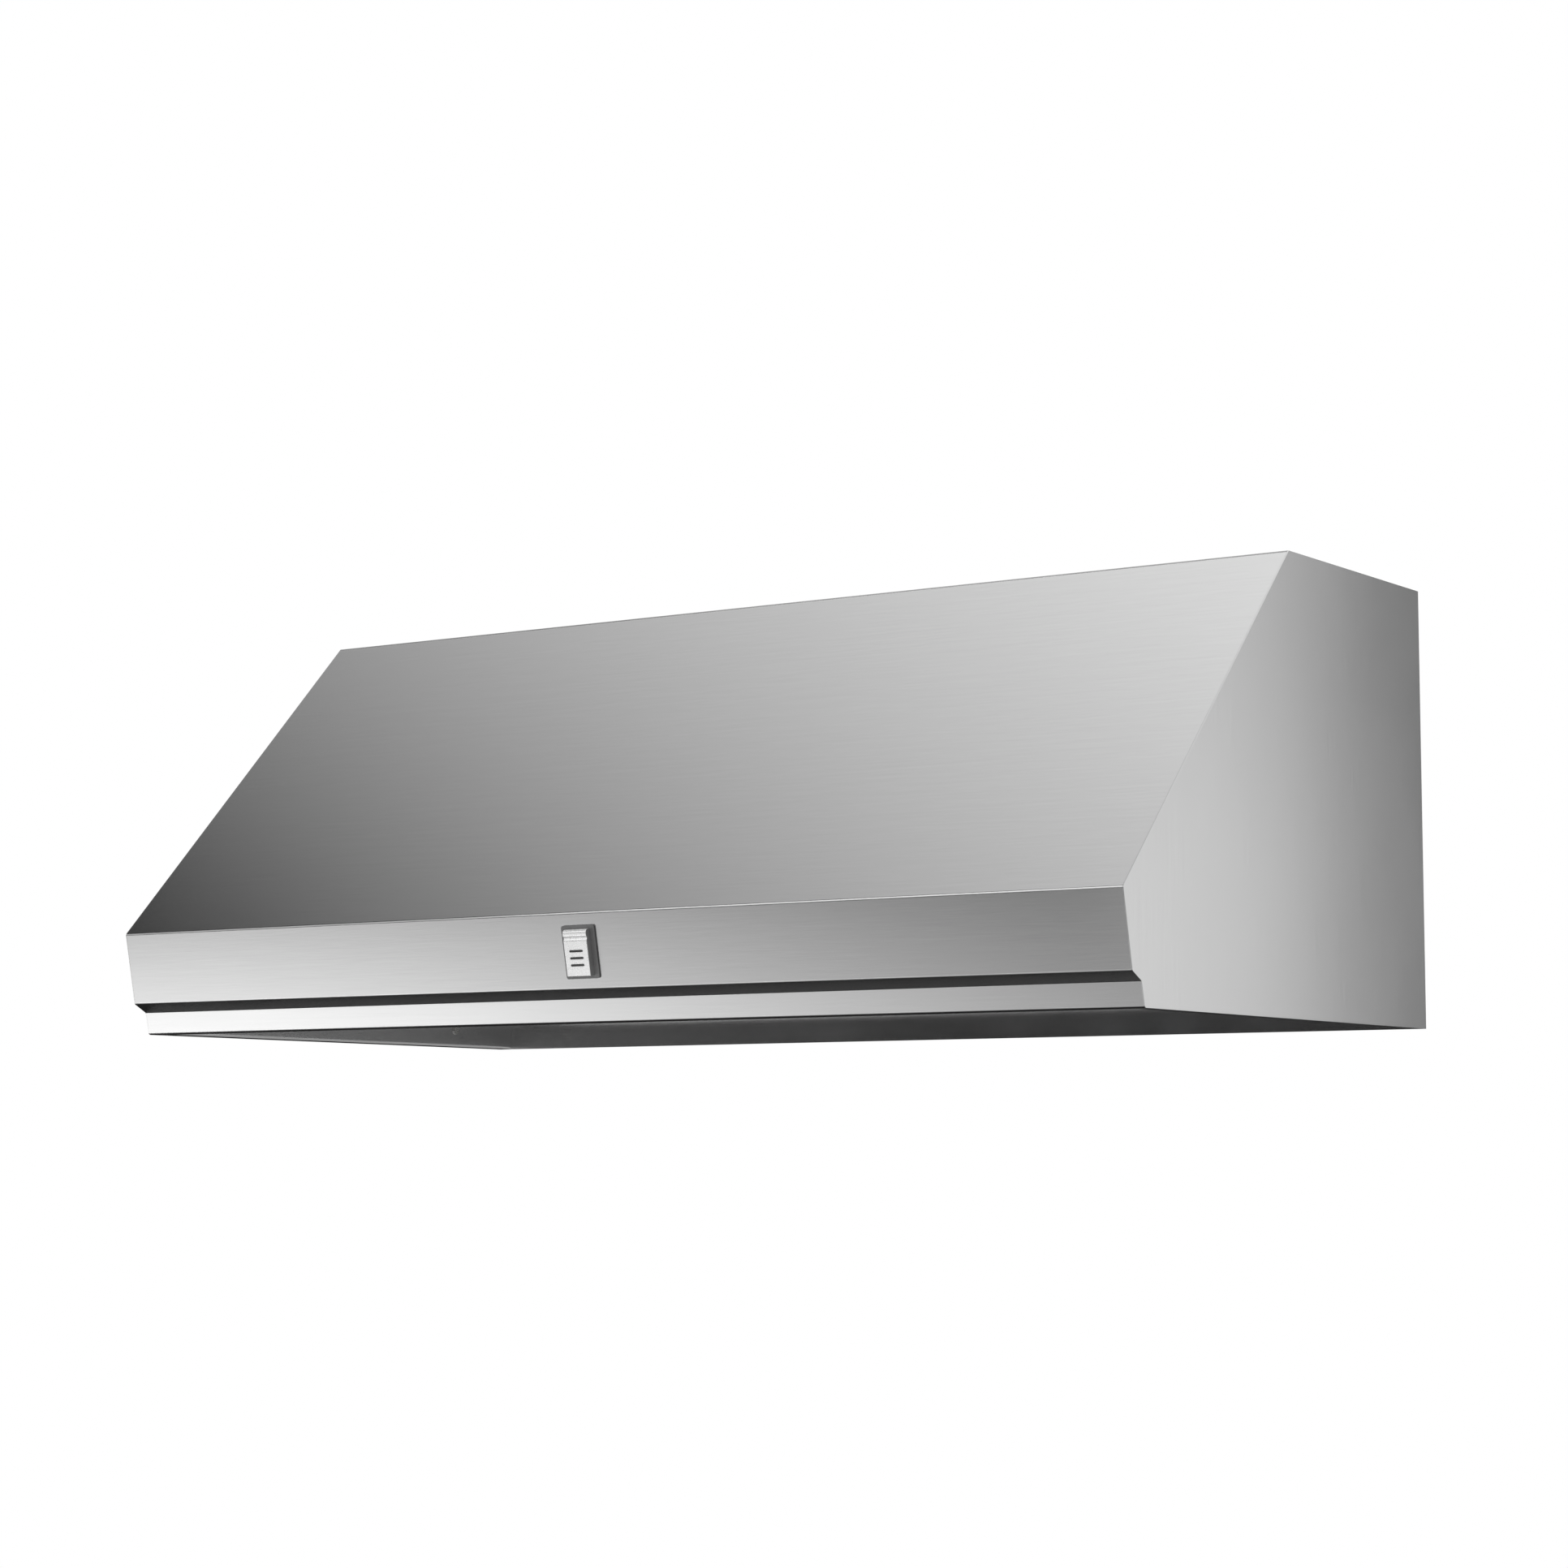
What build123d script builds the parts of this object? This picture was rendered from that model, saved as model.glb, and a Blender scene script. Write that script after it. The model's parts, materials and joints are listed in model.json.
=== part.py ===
from build123d import *
from math import acos, atan2, cos, degrees, hypot, radians, sin, sqrt
import os

os.makedirs("parts", exist_ok=True)

# Every size is in mm. X runs across the hood, Y runs back into the wall, Z runs up.
# The origin is the centre of the cabinet bolt holes on the top face, on the duct's axis.
# Sections are drawn in (v, h): v runs back from the nose, h runs up from the bottom rim.

# Overall sizes
hood_width = 1219.2
hood_height = 457.2
hood_depth = 647.7
top_depth = 304.8

# Front section: nose, inward leaning band, recess and bottom lip
nose_height = 106.8
band_foot_v = 15.5
band_foot_h = 32.4
recess_v = 32.4
recess_h = 23.7
lip_v = 38.0
hem_width = 16.0
hem_height = 26.0

# Sheet work
sheet = 1.2
bend = 1.8
flange = 22.0

# Fixings into the cabinet and the wall
cabinet_bolt_span_x = 1066.8
cabinet_bolt_span_y = 203.2
wall_screw_span = 812.8
wall_screw_drop = 37.2
fixing_hole_r = 4.0

# Duct collar and damper
duct_r = 127.6
collar_wall = 1.0
duct_depth = 40.0
step_width = 3.1
axle_drop = 52.0
axle_r = 2.5
flap_gap = 1.0
flap_thickness = 1.0
flap_offset = 4.0
knuckle_r = 3.6

# Liners and the strip that carries the controls and lamps
liner_width = 18.0
liner_height = 140.0
strip_height = 36.0
strip_depth = 150.0

# Filters: they hook on a rolled bead at the back and swing down at the front
filter_count = 3
filter_gap = 3.6
filter_side_gap = 1.8
filter_thickness = 16.0
filter_skin = 0.8
filter_lip = 14.0
filter_incline = 7.8
bead_r = 3.0
bead_setback = 49.7
bead_height = 54.0
baffle_pitch = 42.0
baffle_width = 32.0
baffle_leg = 9.0
handle_r = 3.0
handle_drop = 24.0

# Grease trough
trough_height = 18.0
trough_width = 46.0
trough_bottom = 30.0
trough_wall = 1.0

# Blower
wheel_r = 85.0
wheel_width = 120.0
blade_count = 30
scroll_clearance = 9.0
scroll_growth = 44.0
scroll_width = 130.0
scroll_spacing = 145.0
motor_r = 50.0
motor_length = 124.0
shaft_r = 4.0
plenum_height = 36.0
plenum_wall = 1.0
collar_length = 70.0

# Controls and lamps
knob_spacing = 100.0
knob_r = 19.0
knob_height = 22.0
lamp_r = 27.0
lamp_height = 22.0

# Badge
badge_width = 40.0
badge_height = 53.0
badge_block_depth = 6.0

gap = 0.3
running = 0.05

# Derived positions
front_y = top_depth / 2 - hood_depth
bottom_z = -hood_height
inner_x = hood_width / 2 - sheet
liner_x = inner_x - liner_width
top_v = hood_depth - top_depth
duct_v = hood_depth - top_depth / 2
step_r = duct_r - step_width
flap_r = step_r - flap_gap
roof_h = hood_height - sheet
slope_angle = atan2(hood_height - nose_height, top_v)
slope_top_v = top_v * (roof_h - nose_height) / (hood_height - nose_height)
hem_v = lip_v + hem_width
strip_back_v = hem_v + strip_depth
strip_mid_v = (hem_v + strip_back_v) / 2
bead_v = hood_depth - bead_setback
incline = radians(filter_incline)
filter_base = bead_r + gap
filter_top = filter_base + filter_thickness
filter_front = sqrt((bead_v - strip_back_v - 1.5) ** 2 - filter_top ** 2)
filter_pitch = 2 * (liner_x - filter_side_gap + filter_gap / 2) / filter_count
filter_width = filter_pitch - filter_gap
stop_face = filter_top + gap
stop_reach = (bead_v - strip_back_v + stop_face * sin(incline)) / cos(incline)
stop_h = bead_height + stop_reach * sin(incline) + stop_face * cos(incline)
collar_foot_h = roof_h - collar_length
plenum_foot_h = collar_foot_h - plenum_height
plenum_x = scroll_spacing + scroll_width / 2 + 12.0
plenum_v0 = duct_v - duct_r - 3.7
plenum_v1 = duct_v + duct_r + 3.1
tongue_r = wheel_r + scroll_clearance
outlet_r = tongue_r + scroll_growth
blower_v = duct_v - wheel_r
blower_h = plenum_foot_h - 102.0
tongue_angle = radians(70.0)
throat_v0 = blower_v + tongue_r * cos(tongue_angle)
throat_v1 = blower_v + outlet_r
knob_top_h = strip_height - 1.3
knob_x = (-knob_spacing / 2, knob_spacing / 2)
lamp_x = (-hood_width * 0.369, -hood_width * 0.1476, hood_width * 0.1476, hood_width * 0.369)
box_x = hood_width * 0.1148
box_v0 = hem_v + 4.0
box_v1 = strip_mid_v - 17.0
box_top_h = strip_height + sheet + 50.0
cable_r = 3.5
cable_offset = 8.0


def row(x, v, h):
    """Row coordinates of a point given across, back from the nose and up from the rim."""
    return (x, front_y + v, bottom_z + h)


def block(x0, x1, v0, v1, h0, h1):
    """Box between two x, two v and two h values."""
    return Pos(*row((x0 + x1) / 2, (v0 + v1) / 2, (h0 + h1) / 2)) * Box(x1 - x0, v1 - v0, h1 - h0)


def section_plane(x):
    """Plane at x whose local axes are v and h, facing +X."""
    return Plane(origin=row(x, 0, 0), x_dir=(0, 1, 0), z_dir=(1, 0, 0))


def upright(x, v, h, radius, height):
    """Vertical cylinder standing on height h."""
    return Pos(*row(x, v, h + height / 2)) * Cylinder(radius, height)


def across(x0, x1, v, h, radius):
    """Cylinder along X."""
    return Pos(*row((x0 + x1) / 2, v, h)) * Rot(0, 90, 0) * Cylinder(radius, x1 - x0)


def left_offset(points, distance):
    """The open path moved to its left, with mitred corners."""
    normals = []
    for (v0, h0), (v1, h1) in zip(points, points[1:]):
        length = hypot(v1 - v0, h1 - h0)
        normals.append((-(h1 - h0) / length, (v1 - v0) / length))
    first, last = normals[0], normals[-1]
    moved = [(points[0][0] + first[0] * distance, points[0][1] + first[1] * distance)]
    for (v, h), (a, b), (c, d) in zip(points[1:-1], normals, normals[1:]):
        scale = distance / (1 + a * c + b * d)
        moved.append((v + (a + c) * scale, h + (b + d) * scale))
    moved.append((points[-1][0] + last[0] * distance, points[-1][1] + last[1] * distance))
    return moved


def turns_left(points):
    """For each inner corner of the path, whether it turns left."""
    turns = []
    for (v0, h0), (v1, h1), (v2, h2) in zip(points, points[1:], points[2:]):
        turns.append((v1 - v0) * (h2 - h1) - (h1 - h0) * (v2 - v1) > 0)
    return turns


def folded_sheet(points, x0, x1, thickness=sheet):
    """Bent sheet along X. The points are its outer face and the metal is on their left."""
    inner = left_offset(points, thickness)
    turns = turns_left(points)
    face_radii = [bend + thickness if left else bend for left in turns]
    back_radii = [bend if left else bend + thickness for left in turns]
    face = FilletPolyline(*points, radius=face_radii)
    back = FilletPolyline(*inner, radius=back_radii)
    ends = [Edge.make_line(points[0], inner[0]), Edge.make_line(points[-1], inner[-1])]
    outline = make_face(list(face.edges()) + list(back.edges()) + ends)
    return extrude(section_plane(x0) * outline, x1 - x0)


def pipe(points, radius, corner):
    """Round rod or cable bent along the points."""
    path = FilletPolyline(*points, radius=corner)
    start = Vector(*points[0])
    heading = Vector(*points[1]) - start
    return sweep(Plane(origin=start, z_dir=heading) * Circle(radius), path=path)


def front_profile():
    """Outer face of the canopy from the top flange down to the hem."""
    return [
        (slope_top_v + flange, roof_h),
        (slope_top_v, roof_h),
        (0, nose_height),
        (band_foot_v, band_foot_h),
        (recess_v, recess_h),
        (lip_v, 0),
        (hem_v, 0),
        (hem_v, hem_height),
    ]


def front_canopy():
    return folded_sheet(front_profile(), -inner_x, inner_x)


def side_panel(sign):
    corners = [(top_v, hood_height), (0, nose_height), (band_foot_v, band_foot_h),
               (recess_v, recess_h), (lip_v, 0), (hood_depth, 0), (hood_depth, hood_height)]
    turns = turns_left(corners[:6])
    radii = [0] + [bend + sheet if left else bend for left in turns] + [0, 0]
    outline = make_face(FilletPolyline(*corners, radius=radii, close=True))
    x0 = inner_x if sign > 0 else -inner_x - sheet
    return extrude(section_plane(x0) * outline, sheet)


def back_panel():
    back = hood_depth
    path = [(back, 0), (back, roof_h), (back - flange, roof_h)]
    panel = folded_sheet(path, -inner_x, inner_x)
    hem = block(-liner_x, liner_x, back - 2 * sheet, back - sheet, 0, 10)
    panel += hem
    for x in (-wall_screw_span / 2, wall_screw_span / 2):
        hole = Pos(*row(x, back, hood_height - wall_screw_drop)) * Rot(90, 0, 0)
        panel -= hole * Cylinder(fixing_hole_r, 4 * sheet)
    return panel


def top_panel():
    panel = block(-inner_x, inner_x, top_v, hood_depth, roof_h, hood_height)
    panel -= Cylinder(duct_r, 4 * sheet)
    for x in (-cabinet_bolt_span_x / 2, cabinet_bolt_span_x / 2):
        for y in (-cabinet_bolt_span_y / 2, cabinet_bolt_span_y / 2):
            panel -= Pos(x, y, 0) * Cylinder(fixing_hole_r, 4 * sheet)
    knockout = Cylinder(11.5, 0.8) - Cylinder(10.7, 0.8)
    panel -= Pos(junction_x() + 45, top_depth / 2 - 45, 0) * knockout
    return panel


def side_liner(sign):
    """Channel that closes the side's bottom edge and carries the strip and the rail."""
    outer = liner_width
    outline = [(outer, 0), (0, 0), (0, liner_height), (outer, liner_height)]
    inner = left_offset(outline, -sheet)
    face = FilletPolyline(*outline, radius=bend + sheet)
    back = FilletPolyline(*inner, radius=bend)
    ends = [Edge.make_line(outline[0], inner[0]), Edge.make_line(outline[-1], inner[-1])]
    shape = make_face(list(face.edges()) + list(back.edges()) + ends)
    plane = Plane(origin=row(liner_x, hem_v, 0), x_dir=(1, 0, 0), z_dir=(0, -1, 0))
    liner = extrude(plane * shape, -(hood_depth - sheet - hem_v))
    for v in screw_v():
        liner -= across(liner_x - 1, liner_x + 3, v, screw_h(), 2.0)
    return liner if sign > 0 else mirror(liner, Plane.YZ)


def screw_v():
    """Where the liner screws sit, front to back."""
    return (hem_v + 60, (hem_v + hood_depth) / 2, hood_depth - 110)


def screw_h():
    return 19.0


def assembly_screws():
    """Low-head liner screws, screws under the hanger feet and the switches' nuts."""
    screws = switch_nuts()
    for sign in (-1, 1):
        for v in screw_v():
            a, b = sorted((sign * (liner_x - 1.2), sign * liner_x))
            c, d = sorted((sign * liner_x, sign * (liner_x + 9)))
            screws.append(across(a, b, v, screw_h(), 4.5) + across(c, d, v, screw_h(), 2.0))
        for v in hanger_v():
            x = sign * (plenum_x + 14)
            head = upright(x, v, roof_h - 1.5 - 3.5, 4.0, 3.5)
            screws.append(head + upright(x, v, roof_h - 1.5, 2.5, 1.5))
    return Compound(children=screws)


def control_strip():
    """Front liner: meets the hem, runs back under the controls and turns up to the filter stop."""
    reach = (cos(incline), -sin(incline))
    path = [
        (hem_v + sheet, 5),
        (hem_v + sheet, strip_height),
        (strip_back_v, strip_height),
        (strip_back_v, stop_h),
        (strip_back_v + flange * reach[0], stop_h + flange * reach[1]),
    ]
    strip = folded_sheet(path, -liner_x, liner_x)
    for x in lamp_x:
        strip -= upright(x, strip_mid_v, strip_height - 1, lamp_r, 4)
    for x in knob_x:
        strip -= upright(x, strip_mid_v, strip_height - 1, 5.0, 4)
    for place in magnet_places():
        strip -= place * Pos(0, 0, 2) * Cylinder(8.0, 6)
    return strip


def magnet_places():
    """Pairs of magnet centres over each filter, on the stop flange's lower face."""
    places = []
    for centre in filter_centres():
        for side in (-1, 1):
            local = Pos(side * filter_width * 0.3, -(stop_reach - flange / 2 - 1.0), stop_face)
            places.append(filter_place(centre) * local)
    return places


def filter_magnets():
    return Compound(children=[place * Pos(0, 0, 2) * Cylinder(8.0, 4) for place in magnet_places()])


def rear_filter_rail():
    """Rolled bead the filters hook on, with a slotted shelf that drains into the trough."""
    back = hood_depth - sheet
    shelf_h = bead_height - bead_r
    rail = folded_sheet([(bead_v, shelf_h), (back, shelf_h), (back, bead_height + 25)], -liner_x, liner_x)
    rail += across(-liner_x, liner_x, bead_v, bead_height, bead_r)
    slot = (back - bead_v) * 0.45
    for centre in filter_centres():
        for step in (-1.5, -0.5, 0.5, 1.5):
            x = centre + step * filter_width / 4.5
            rail -= block(x - 24, x + 24, back - 10 - slot, back - 10, shelf_h - 1, shelf_h + sheet + 1)
    return rail


def filter_centres():
    middle = (filter_count - 1) / 2
    return [(index - middle) * filter_pitch for index in range(filter_count)]


def filter_place(x):
    """Local frame on the hook bead: X across, -Y forward along the filter, Z out of its top."""
    upward = (0, sin(incline), cos(incline))
    return Plane(origin=row(x, bead_v, bead_height), x_dir=(1, 0, 0), z_dir=upward).location


def filter_frame(x):
    """Channel frame open to the inside, with a lip that hooks behind the bead."""
    length = filter_front + filter_lip
    middle = (filter_lip - filter_front) / 2
    height = filter_base + filter_thickness / 2
    body = Box(filter_width, length, filter_thickness)
    body = fillet(body.edges().filter_by(Axis.Z), 3.0)
    core = Box(filter_width - 2 * filter_skin, length - 2 * filter_skin,
               filter_thickness - 2 * filter_skin)
    window = Box(filter_width - 2 * filter_lip, length - 2 * filter_lip, 2 * filter_thickness)
    frame = Pos(0, middle, height) * (body - core - window)
    drop = filter_base + 0.8
    frame += Pos(0, bead_r + 1.2, filter_base - drop / 2) * Box(filter_width - 30, 1.2, drop)
    return filter_place(x) * frame


def filter_baffles(x):
    """Two facing rows of interleaved channels, joined by an end strip at each end."""
    low = filter_base + filter_skin
    high = filter_top - filter_skin
    length = filter_front + filter_lip - 2 * filter_skin - 2 * gap
    middle = (filter_lip - filter_front) / 2
    count = int((filter_width - 2 * filter_skin - baffle_width) / baffle_pitch) + 1
    pieces = []
    for index in range(count):
        across_x = (index - (count - 1) / 2) * baffle_pitch
        web = Pos(across_x, middle, low + filter_skin / 2) * Box(baffle_width, length, filter_skin)
        pieces.append(web)
        for side in (-1, 1):
            leg_x = across_x + side * (baffle_width - filter_skin) / 2
            leg = Pos(leg_x, middle, low + baffle_leg / 2) * Box(filter_skin, length, baffle_leg)
            pieces.append(leg)
    for index in range(count - 1):
        across_x = (index - (count - 2) / 2) * baffle_pitch
        web = Pos(across_x, middle, high - filter_skin / 2) * Box(baffle_width, length, filter_skin)
        pieces.append(web)
        for side in (-1, 1):
            leg_x = across_x + side * (baffle_width - filter_skin) / 2
            leg = Pos(leg_x, middle, high - baffle_leg / 2) * Box(filter_skin, length, baffle_leg)
            pieces.append(leg)
    span = (count - 1) * baffle_pitch + baffle_width
    for side in (-1, 1):
        end_y = middle + side * (length - filter_skin) / 2
        pieces.append(Pos(0, end_y, (low + high) / 2) * Box(span, filter_skin, high - low))
    rows = pieces[0].fuse(*pieces[1:])
    return filter_place(x) * Part(rows.wrapped)


def filter_handle(x):
    """Bent rod pull with a foot on each end, under the front of the filter."""
    forward = -(filter_front - 45)
    foot = filter_base + filter_skin
    tip = foot - handle_drop
    half = baffle_pitch
    path = [(-half, forward, foot - 0.5), (-half, forward, tip), (half, forward, tip),
            (half, forward, foot - 0.5)]
    handle = pipe(path, handle_r, 8.0)
    for side in (-1, 1):
        handle += Pos(side * half, forward, foot - 0.75) * Cylinder(6.5, 1.5)
    return filter_place(x) * handle


def trough_v():
    return hood_depth - sheet - 5.5 - trough_width


def grease_trough():
    """Open channel under the drain slots; it pulls straight down out of its side clips."""
    x1 = liner_x - 4.4
    v0, v1 = trough_v(), trough_v() + trough_width
    top = trough_bottom + trough_height
    wall = trough_wall
    trough = block(-x1, x1, v0 + 4, v1 - 4, trough_bottom, top)
    trough = fillet(trough.edges().filter_by(Axis.X).group_by(Axis.Z)[0], 4.0)
    trough += block(-x1, x1, v0, v1, top - wall, top)
    hollow = block(-x1 + wall, x1 - wall, v0 + 4 + wall, v1 - 4 - wall, trough_bottom + wall, top + 1)
    hollow = fillet(hollow.edges().filter_by(Axis.X).group_by(Axis.Z)[0], 4.0 - wall)
    return trough - hollow


def trough_clips():
    """Bowed leaf springs on the liners that grip the trough's ends."""
    tip_x = liner_x - 4.4 + gap
    h0 = trough_bottom + 2
    h1 = trough_bottom + trough_height - 2
    mid = (h0 + h1) / 2
    v0 = trough_v() + 10
    base = liner_x
    outline = [(base, h0), (base - 0.8, h0), (tip_x, mid - 3), (tip_x, mid + 3), (base - 0.8, h1),
               (base, h1), (base, h1 - 2.5), (tip_x + 1.1, mid + 2), (tip_x + 1.1, mid - 2),
               (base, h0 + 2.5)]
    shape = make_face(Polyline(*outline, close=True))
    plane = Plane(origin=row(0, v0, 0), x_dir=(1, 0, 0), z_dir=(0, -1, 0))
    clip = extrude(plane * shape, -(trough_width - 20))
    return Compound(children=[clip, mirror(clip, Plane.YZ)])


def scroll_face(inset):
    """Section of the scroll: a growing spiral that opens straight up into the plenum."""
    left, right = throat_v0 + inset, throat_v1 - inset
    start = acos((left - blower_v) / (tongue_r - inset))
    turn = radians(360.0)
    points = []
    for step in range(25):
        angle = start + (turn - start) * step / 24
        growth = max(0.0, (angle - tongue_angle) / (turn - tongue_angle))
        radius = tongue_r + scroll_growth * growth - inset
        points.append((blower_v + radius * cos(angle), blower_h + radius * sin(angle)))
    points[0] = (left, points[0][1])
    points[-1] = (right, blower_h)
    curve = Spline(*points)
    lines = [Edge.make_line(points[-1], (right, plenum_foot_h)),
             Edge.make_line((right, plenum_foot_h), (left, plenum_foot_h)),
             Edge.make_line((left, plenum_foot_h), points[0])]
    return make_face(list(curve.edges()) + lines)


def blower_scroll(sign):
    """Spiral housing with an inlet in each cheek and a flange round its outlet."""
    x0 = sign * scroll_spacing - scroll_width / 2
    x1 = x0 + scroll_width
    shell = extrude(section_plane(x0) * scroll_face(0), scroll_width)
    shell += block(x0 - 8, x1 + 8, throat_v0 - 8, throat_v1 + 8, plenum_foot_h - sheet, plenum_foot_h)
    shell -= extrude(section_plane(x0 + sheet) * scroll_face(sheet), scroll_width - 2 * sheet)
    shell -= across(x0 - 1, x1 + 1, blower_v, blower_h, inlet_r())
    return shell


def inlet_r():
    return wheel_r * 0.78


def inlet_rings():
    """Rolled inlet mouths set in the four cheek holes."""
    rings = []
    inlet = inlet_r()
    for sign in (-1, 1):
        for side in (-1, 1):
            face = sign * scroll_spacing + side * scroll_width / 2
            flange_a, flange_b = sorted((face, face + side * 1.2))
            throat_a, throat_b = sorted((face - side * 3.0, face + side * 5.0))
            bead_a, bead_b = sorted((face + side * 3.8, face + side * 5.0))
            ring = across(flange_a, flange_b, blower_v, blower_h, inlet + 9)
            ring += across(throat_a, throat_b, blower_v, blower_h, inlet)
            ring += across(bead_a, bead_b, blower_v, blower_h, inlet + 2.5)
            ring -= across(face - 10, face + 10, blower_v, blower_h, inlet - 1.2)
            rings.append(ring)
    return Compound(children=rings)


def impeller(sign):
    """Squirrel-cage wheel: curved blades, two rims, a middle web and a hub on the shaft."""
    inner, outer = wheel_r * 0.84, wheel_r - 1.0
    arc = ThreePointArc((inner, 0), ((inner + outer) / 2, 3.4), (outer, 2.0))
    back = ThreePointArc((inner, 1.0), ((inner + outer) / 2, 4.4), (outer, 3.0))
    ends = [Edge.make_line((inner, 0), (inner, 1.0)), Edge.make_line((outer, 2.0), (outer, 3.0))]
    blade = extrude(make_face(list(arc.edges()) + list(back.edges()) + ends), wheel_width - 2)
    wheel = Pos(0, 0, wheel_width / 2) * Cylinder(wheel_r, 1.6)
    wheel += Pos(0, 0, wheel_width / 2) * Cylinder(14.0, 30.0)
    blades = [Rot(0, 0, 360 * n / blade_count) * Pos(0, 0, 1) * blade for n in range(blade_count)]
    wheel = wheel.fuse(*blades)
    for z in (1.5, wheel_width - 1.5):
        wheel += Pos(0, 0, z) * (Cylinder(wheel_r, 3.0) - Cylinder(inner + 1.0, 3.0))
    wheel -= Pos(0, 0, wheel_width / 2) * Cylinder(shaft_r, wheel_width)
    start = sign * scroll_spacing - wheel_width / 2
    place = Plane(origin=row(start, blower_v, blower_h), x_dir=(0, 1, 0), z_dir=(1, 0, 0)).location
    return place * Part(wheel.wrapped)


def motor_shell():
    """Can with end bells, a bearing boss at each end and a lead cover at the front."""
    half = motor_length / 2
    shell = across(-half, half, blower_v, blower_h, motor_r)
    shell = fillet(shell.edges().filter_by(GeomType.CIRCLE), 6.0)
    shell -= across(-half + 2, half - 2, blower_v, blower_h, motor_r - 2)
    for side in (-1, 1):
        a, b = sorted((side * (half - 8), side * (half - 2)))
        shell += across(a, b, blower_v, blower_h, 11.0)
    cover_v = blower_v - motor_r
    x = motor_cable_x()
    shell += block(x - 14, x + 14, cover_v - 6, cover_v + 1.5, blower_h, blower_h + 26)
    shell -= across(-half - 1, half + 1, blower_v, blower_h, shaft_r + running)
    return shell


def motor_stator():
    """Laminated ring with wound ends, pressed into the can."""
    half = motor_length / 2 - 24
    stator = across(-half, half, blower_v, blower_h, motor_r - 2)
    for side in (-1, 1):
        a, b = sorted((side * half, side * (half + 9)))
        stator += across(a, b, blower_v, blower_h, motor_r - 7)
    return stator - across(-half - 10, half + 10, blower_v, blower_h, motor_r * 0.56)


def motor_rotor():
    half = motor_length / 2 - 24
    rotor = across(-half, half, blower_v, blower_h, motor_r * 0.56 - 0.6)
    return rotor - across(-half - 1, half + 1, blower_v, blower_h, shaft_r)


def motor_shaft():
    half = scroll_spacing + wheel_width / 2
    shaft = across(-half, half, blower_v, blower_h, shaft_r)
    return chamfer(shaft.edges().filter_by(GeomType.CIRCLE), 0.6)


def motor_cradle():
    """Band round the motor hung from a plate under the plenum."""
    ring = across(-16, 16, blower_v, blower_h, motor_r + 2) - across(-17, 17, blower_v, blower_h, motor_r)
    for side in (-1, 1):
        v = blower_v + side * (motor_r - 6)
        ring += block(-16, 16, v - 1.5, v + 1.5, blower_h + motor_r * 0.3, plenum_foot_h)
    ring -= across(-17, 17, blower_v, blower_h, motor_r)
    return ring + block(-16, 16, blower_v - motor_r + 2, blower_v + motor_r, plenum_foot_h - 2, plenum_foot_h)


def outlet_plenum():
    """Box that gathers both scroll outlets under the round collar."""
    wall = plenum_wall
    box = block(-plenum_x, plenum_x, plenum_v0, plenum_v1, plenum_foot_h, collar_foot_h)
    box = fillet(box.edges().filter_by(Axis.Z), 4.0)
    box -= block(-plenum_x + wall, plenum_x - wall, plenum_v0 + wall, plenum_v1 - wall,
                 plenum_foot_h + wall, collar_foot_h - wall)
    box -= upright(0, duct_v, collar_foot_h - 3, step_r, 6)
    for sign in (-1, 1):
        x = sign * scroll_spacing
        half = scroll_width / 2 - sheet
        box -= block(x - half, x + half, throat_v0 + sheet, throat_v1 - sheet,
                     plenum_foot_h - 2, plenum_foot_h + 2)
    return box


def duct_collar():
    """Round collar with a step that the duct stands on and a seat for the flaps.

    Its top flange is cut straight at the front and back to clear the folded edges there.
    """
    outer, lower = duct_r + collar_wall, step_r + collar_wall
    foot = sheet + collar_length
    upper_length = duct_depth + collar_wall - sheet
    clear = 2 * (top_depth / 2 - flange - 1.0)
    collar = Pos(0, 0, -sheet - upper_length / 2) * Cylinder(outer, upper_length)
    collar += Pos(0, 0, -(duct_depth + foot) / 2) * Cylinder(lower, foot - duct_depth)
    collar += Pos(0, 0, -sheet - 0.5) * (Cylinder(duct_r + 17, 1.0) & Box(2 * duct_r + 40, clear, 1.0))
    collar += Pos(0, 0, 0.5 - foot) * Cylinder(lower + 4, 1.0)
    collar -= Pos(0, 0, -duct_depth / 2) * Cylinder(duct_r, duct_depth)
    collar -= Pos(0, 0, -foot / 2) * Cylinder(step_r, foot + 4)
    seat_z = -axle_drop - flap_offset - flap_thickness - gap - 0.6
    collar += Pos(0, 0, seat_z) * (Cylinder(lower, 1.2) - Cylinder(flap_r - 6, 1.2))
    hole = Pos(0, 0, -axle_drop) * Rot(0, 90, 0) * Cylinder(axle_r, 2 * outer + 4)
    return collar - hole


def damper_axle():
    length = 2 * (step_r + collar_wall)
    return Pos(0, 0, -axle_drop) * Rot(0, 90, 0) * Cylinder(axle_r, length)


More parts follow.
